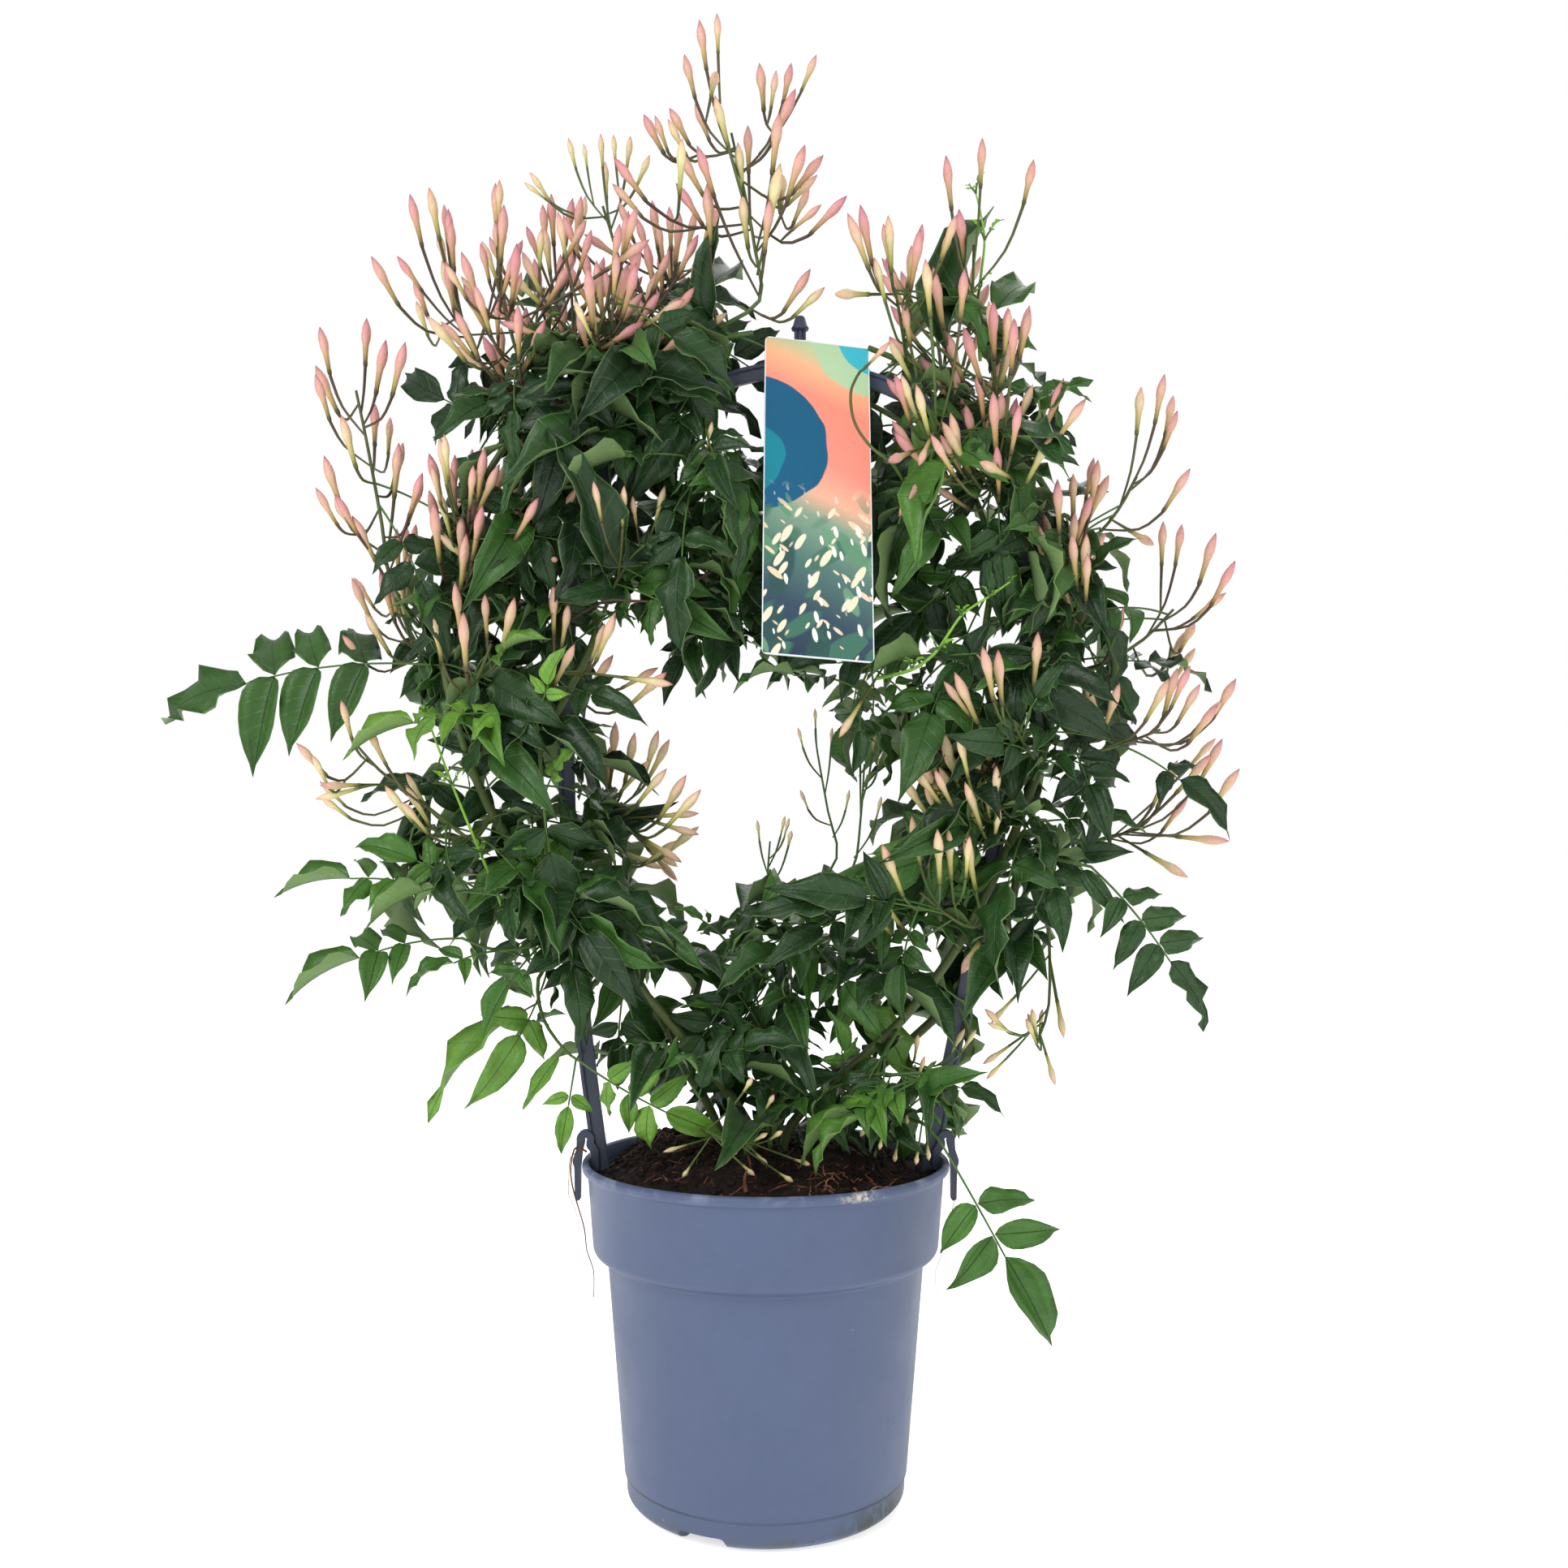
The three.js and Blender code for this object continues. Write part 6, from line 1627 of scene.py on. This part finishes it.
def make_soil_mound():
    """A closed body of soil that fills the pot, with a rough top of fine rings."""
    heel, wall, mouth = POT.heel, POT.wall, POT.mouth
    collar, shoulder = POT.collar, POT.shoulder
    rim = mouth - wall - 0.7
    sides, rings = 150, 58
    outline = [(0, POT.floor + 2.35), (heel - 5.4, POT.floor + 2.35), (heel - wall - 0.6, 8),
        (shoulder - wall - 0.6, 114.8), (collar - wall - 0.6, 119)]
    outline += [(rim * (1 - i / rings), None) for i in range(rings + 1)]
    rows = turned(outline, sides)
    rows = [[(x, y, rough_soil_height(x, y) if z is None else z) for x, y, z in row] for row in rows]
    return shell_mesh("soil_mound", rows)


def make_crumb(name, seed, collection):
    build = bmesh.new()
    bmesh.ops.create_icosphere(build, subdivisions=1, radius=1)
    maker = random.Random(seed)
    for corner in build.verts:
        corner.co *= maker.uniform(0.65, 1.15)
        corner.co.z *= 0.75
    shown(name, finish_shape(name, build), collection)


def make_strand(name, seed, collection, slim, flat, bends):
    """A strand of unit length along the y axis, bent at random, pointed at both ends."""
    maker = random.Random(seed)
    steps, sides = 9, 5
    rows = []
    side, rise = 0.0, 0.0
    for i in range(steps + 1):
        run = i / steps
        side += maker.uniform(-bends, bends)
        rise += maker.uniform(-bends, bends) * 0.5
        stout = slim * (0.25 + 0.75 * math.sin(math.pi * run))
        turns = [2 * math.pi * k / sides for k in range(sides)]
        rows.append([(side + stout * math.cos(turn), run - 0.5, rise + flat * stout * math.sin(turn))
            for turn in turns])
    shown(name, shell_mesh(name, rows, 1), collection)


def make_litter_tree():
    """Strews shapes over the upward faces of a surface, within reach of one place and of the axis."""
    tree, given, end = new_tree("litter_on_soil", {"Shapes": "Collection", "Density": "Float",
        "Middle": "Vector", "Reach": "Float", "Rim": "Float", "Smallest": "Float", "Largest": "Float",
        "Seed": "Int", "Finish": "Material"})
    seed = given["Seed"]
    facing = Flow(add(tree, "GeometryNodeInputNormal").outputs[0])
    place = Flow(add(tree, "GeometryNodeInputPosition").outputs[0])
    away = place.into("ShaderNodeVectorMath", 0, {1: given["Middle"]}, "Value", operation="DISTANCE")
    level = place.into("ShaderNodeVectorMath", 0, {1: (1, 1, 0)}, operation="MULTIPLY")
    from_axis = level.into("ShaderNodeVectorMath", 0, None, "Value", operation="LENGTH")
    chosen = (facing.axis(2) > 0.3) * (away < given["Reach"]) * (from_axis < given["Rim"])
    strewn = add(tree, "GeometryNodeDistributePointsOnFaces", {"Mesh": given["Geometry"],
        "Selection": chosen, "Density": given["Density"], "Seed": seed})
    spin = seed.into("FunctionNodeRandomValue", "Seed", {0: (-0.5, -0.5, 0.0), 1: (0.5, 0.5, 6.28)},
        data_type="FLOAT_VECTOR")
    turn = Flow(strewn.outputs["Rotation"]).into("FunctionNodeRotateRotation", "Rotation",
        {"Rotate By": spin}, rotation_space="LOCAL")
    size = seed.into("FunctionNodeRandomValue", "Seed", {2: given["Smallest"], 3: given["Largest"]}, 1,
        data_type="FLOAT")
    # A pick past the last shape starts again at the first.
    pick = seed.into("FunctionNodeRandomValue", "Seed", {4: 0, 5: 9}, 2, data_type="INT")
    laid = pick_shapes(given["Shapes"], Flow(strewn.outputs["Points"]), pick, turn, size, given["Finish"])
    tree.links.new(laid.socket, end)
    return tree


# What is strewn: its shapes, its finish, how many to the square metre, and then in millimetres the
# middle and the reach of its patch, how near the rim it comes, and its smallest and largest size.
LITTER = {
    "soil_crumbs": ("crumb", "potting_soil", 90000.0, (0, 0, 155), 90, 78, 0.5, 2.3),
    "bark_shreds": ("shred", "bark_shreds", 17000.0, (0, 0, 155), 90, 73, 5, 13),
    "dry_roots": ("root", "dry_roots", 38000.0, (38, -52, 152), 20, 69, 8, 20),
}


def dress_soil():
    mound = shown("soil_mound", make_soil_mound())
    settle(mound, "potting_soil", "soil")
    shapes = {kind: bpy.data.collections.new(kind + "_shapes") for kind in ("crumb", "shred", "root")}
    for i in range(4):
        make_crumb(f"crumb_{i}", i, shapes["crumb"])
        make_strand(f"shred_{i}", 10 + i, shapes["shred"], 0.06, 0.4, 0.03)
        make_strand(f"root_{i}", 20 + i, shapes["root"], 0.022, 1.0, 0.1)
    tree = make_litter_tree()
    for seed, (name, (kind, skin, density, middle, *spans)) in enumerate(LITTER.items(), 3):
        inputs = {"Shapes": shapes[kind], "Density": density, "Middle": [part * MM for part in middle],
            "Seed": seed, "Finish": MATERIALS[skin]}
        inputs.update(zip(("Reach", "Rim", "Smallest", "Largest"), (span * MM for span in spans)))
        settle(grown(mound.data.copy(), tree, inputs, name), skin)


# -------------------- hoop


def hoop_line():
    """The hoop's middle line: two straight legs and half an ellipse, leaning a little right."""
    middle, spring = ARCH.middle, ARCH.spring
    line = [(-72.5, 119), (-76.6, 152), (-84.4, 212), (-91, 290), (-93, 350)]
    steps = 20
    for i in range(steps + 1):
        angle = math.pi * (1 - i / steps)
        line.append((middle + ARCH.half_width * math.cos(angle),
            spring + ARCH.rise * math.sin(angle)))
    line += [(117, 360), (106.5, 300), (92, 229), (78.4, 163), (76.4, 152), (72.5, 119)]
    return spline(spline([Vector((x, 0, z)) for x, z in line]))


def add_strip(build):
    """The flat strip: a narrow raised rail outside, a groove beside it and a broad band inside."""
    half, deep = STRIP.width / 2, STRIP.depth / 2
    rail, groove = -half + STRIP.rail, STRIP.groove
    front = [(-half + 0.3, -deep), (rail - 0.2, -deep), (rail, -deep + 0.3), (rail, -deep + groove),
        (rail + 0.5, -deep + groove), (rail + 0.8, -deep + 0.4), (half - 0.9, -deep + 0.4),
        (half - 0.7, -deep), (half - 0.2, -deep), (half, -deep + 0.2)]
    back = [(half, deep - 0.3), (half - 0.3, deep), (-half + 0.3, deep), (-half, deep - 0.3),
        (-half, -deep + 0.3)]
    section = front + back
    line = hoop_line()
    rows = []
    for i, point in enumerate(line):
        ahead = (line[min(i + 1, len(line) - 1)] - line[max(i - 1, 0)]).normalized()
        rows.append([(point.x + across * ahead.z, y, point.z - across * ahead.x)
            for across, y in section])
    add_shell(build, rows)


def arc(x, z, radius, start, stop, steps=8):
    turns = [math.radians(start + (stop - start) * i / steps) for i in range(steps + 1)]
    return [(x + radius * math.cos(turn), z + radius * math.sin(turn)) for turn in turns]


def add_clip(build, side):
    """A spring clip cut from one outline: a round head with an eye, a nib, and two arms over the lip."""
    outer, arm, foot = CLIP.outer, CLIP.arm, CLIP.foot
    head, head_z, eye = 4.2, CLIP.top - 4.6, 1.0
    head_x = CLIP.inner + 5.8
    outline = arc(outer - arm / 2, foot + 1.2, arm / 2, 200, 340, 5)
    outline += [(outer, 152.4), (outer + 0.9, 154), (outer + 1, 155.8), (outer + 0.4, 157.6),
        (outer - 0.6, 160.4), (outer - 1.1, 162.6)]
    outline += arc(head_x, head_z, head, -12, 176, 12)
    outline += [(head_x - 3.8, 163.6), (head_x - 4.4, 162.8), (head_x - 5.7, 161.6), (head_x - 6.3, 159.6),
        (head_x - 6.5, 150.6), (head_x - 3.5, 150.6), (head_x - 3.4, 157.6), (head_x - 2.4, 159.8),
        (head_x - 0.9, 161.2), (head_x - 0.4, 162.4)]
    outline += arc(head_x, head_z, eye, 246, -66, 10)
    outline += [(head_x + 0.8, 162.4), (head_x + 1.6, 159.2), (outer - arm - 0.2, 157.2),
        (outer - arm, 152)]
    deep = CLIP.depth / 2
    ends = add_shell(build, [[(side * x, y, z) for x, z in outline] for y in (-deep, deep)])
    edges = [edge for face in ends for edge in face.edges]
    bmesh.ops.bevel(build, geom=edges, offset=0.25 * MM, segments=2, affect="EDGES")


def add_post(build):
    """The post that the tag's sleeve slips over, with a rib down its middle."""
    half, deep = POST.width / 2, POST.depth / 2
    section = [(-half, -deep + 0.2), (-half + 0.2, -deep), (-half + 1.1, -deep), (-half + 1.3, -deep + 0.7),
        (-0.9, -deep + 0.7), (-0.7, -deep), (0.7, -deep), (0.9, -deep + 0.7), (half - 1.3, -deep + 0.7),
        (half - 1.1, -deep), (half - 0.2, -deep), (half, -deep + 0.2), (half, deep), (-half, deep)]
    add_shell(build, [[(ARCH.middle + x, y, z) for x, y in section]
        for z in (POST.foot - 1, POST.top + 0.5)])


def add_knob(build):
    """A blunt arrowhead with a lip under it, turned on the post's end."""
    wide, crown, tall, foot = KNOB.radius, KNOB.crown, KNOB.height, POST.top
    outline = [(0, foot), (wide - 0.9, foot), (wide - 0.2, foot + 0.3), (wide, foot + 0.9),
        (wide - 0.2, foot + 1.5), (wide - 0.7, foot + 2.1), (crown + 0.5, foot + tall - 1.2),
        (crown, foot + tall - 0.4), (crown - 0.8, foot + tall), (0, foot + tall)]
    add_shell(build, turned(outline, 28, ARCH.middle))


def dress_hoop():
    build = bmesh.new()
    add_strip(build)
    add_clip(build, -1)
    add_clip(build, 1)
    add_post(build)
    add_knob(build)
    hoop = shown("hoop_and_clips", finish_shape("hoop_and_clips", build))
    settle(hoop, "hoop_plastic", "hoop", 30)


# -------------------- loose roots and a sliver of bark

# The girth of each, and its line, x, z, y by place.
LOOSE_ROOTS = [
    (0.5, [-83, 160, -4, -88, 162, -6, -90, 153, -7, -89, 144, -7, -87, 136, -6, -84, 124, -4,
        -83, 114, -3, -80, 104, -2, -80, 92, -2]),
    (0.22, [-84, 161, -5, -90, 158, -6, -91, 148, -6, -91, 140, -6, -88, 133, -5, -86, 122, -4]),
    (0.18, [79, 161, -20, 86, 150, -22, 80, 118, -20, 77, 108, -18, 78, 95, -17]),
    (1.0, [-8.4, 155, -64, -9, 160, -64.5, -8, 164.5, -65]),
]


def dress_loose_roots():
    """Thin roots that hang over the lip beside the clips, and a sliver of bark upright in the soil."""
    roots = new_plant([])
    for girth, places in LOOSE_ROOTS:
        line = spline([Vector((x, y, z)) for x, z, y in in_groups(places, 3)])
        add_stalk(roots, line, (girth, 0.4 * girth), (0, 0))
    piece = grown_plant(roots, "loose_roots", 5, 3, "bark_shreds")
    settle(piece, "bark_shreds")


dress_pot()
dress_soil()
dress_hoop()
dress_loose_roots()


# -------------------- camera, light and floor


def set_camera():
    data = bpy.data.cameras.new("camera")
    side = PICTURE.side
    data.sensor_width = SENSOR
    data.sensor_fit = "HORIZONTAL"
    data.lens = SENSOR * PICTURE.focus / side
    data.shift_x = (side / 2 - PICTURE.ahead_x) / side
    data.shift_y = (PICTURE.ahead_y - side / 2) / side
    data.clip_start = 0.01
    camera = shown("camera", data)
    camera.location = (0, -EYE.distance * MM, EYE.height * MM)
    camera.rotation_euler = (math.pi / 2, 0, 0)
    bpy.context.scene.camera = camera


def add_lamp(name, place, aim, side, power):
    data = bpy.data.lights.new(name, "AREA")
    data.size = side
    data.energy = power
    lamp = shown(name, data)
    lamp.location = place
    lamp.rotation_euler = (Vector(aim) - Vector(place)).to_track_quat("-Z", "Y").to_euler()


def set_light():
    """Soft lamps round the plant, and a white surround that gives a part of its own light."""
    world = bpy.data.worlds.new("studio")
    world.use_nodes = True
    tree = world.node_tree
    white = (1, 1, 1, 1)
    backs = [Flow(add(tree, "ShaderNodeBackground", {"Color": white, "Strength": strength}).outputs[0])
        for strength in (0.5, 1.0)]
    seen = Flow(add(tree, "ShaderNodeLightPath").outputs["Is Camera Ray"])
    either = seen.into("ShaderNodeMixShader", 0, dict(enumerate(backs, 1)))
    tree.links.new(either.socket, tree.nodes["World Output"].inputs["Surface"])
    bpy.context.scene.world = world
    bpy.context.scene.view_settings.view_transform = "Standard"
    add_lamp("softbox_left", (-1.1, -1.5, 1.5), (0, 0, 0.33), 1.1, 26)
    add_lamp("softbox_right", (1.3, -1.2, 0.9), (0, 0, 0.3), 1.2, 8)
    add_lamp("softbox_back", (0.4, 1.3, 1.7), (0, 0, 0.35), 1.4, 12)


def lay_floor():
    build = bmesh.new()
    bmesh.ops.create_grid(build, x_segments=2, y_segments=2, size=6)
    floor = shown("floor", finish_shape("floor", build))
    material = bpy.data.materials.new("pale_floor")
    material.use_nodes = True
    shader = material.node_tree.nodes["Principled BSDF"]
    for key, value in {"Base Color": display(252, 252, 252), "Roughness": 0.9,
            "Emission Color": (1, 1, 1, 1), "Emission Strength": 0.62}.items():
        shader.inputs[key].default_value = value
    floor.data.materials.append(material)
    floor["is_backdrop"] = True


set_camera()
set_light()
lay_floor()


# -------------------- the tag's print and the list of sizes

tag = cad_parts["tag"]
tag.data.materials.clear()
tag.data.materials.append(MATERIALS["tag_print"])

boxes = {"cad": cad_box, "visual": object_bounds()}
{key: [list(corner) for corner in box] for key, box in boxes.items()}
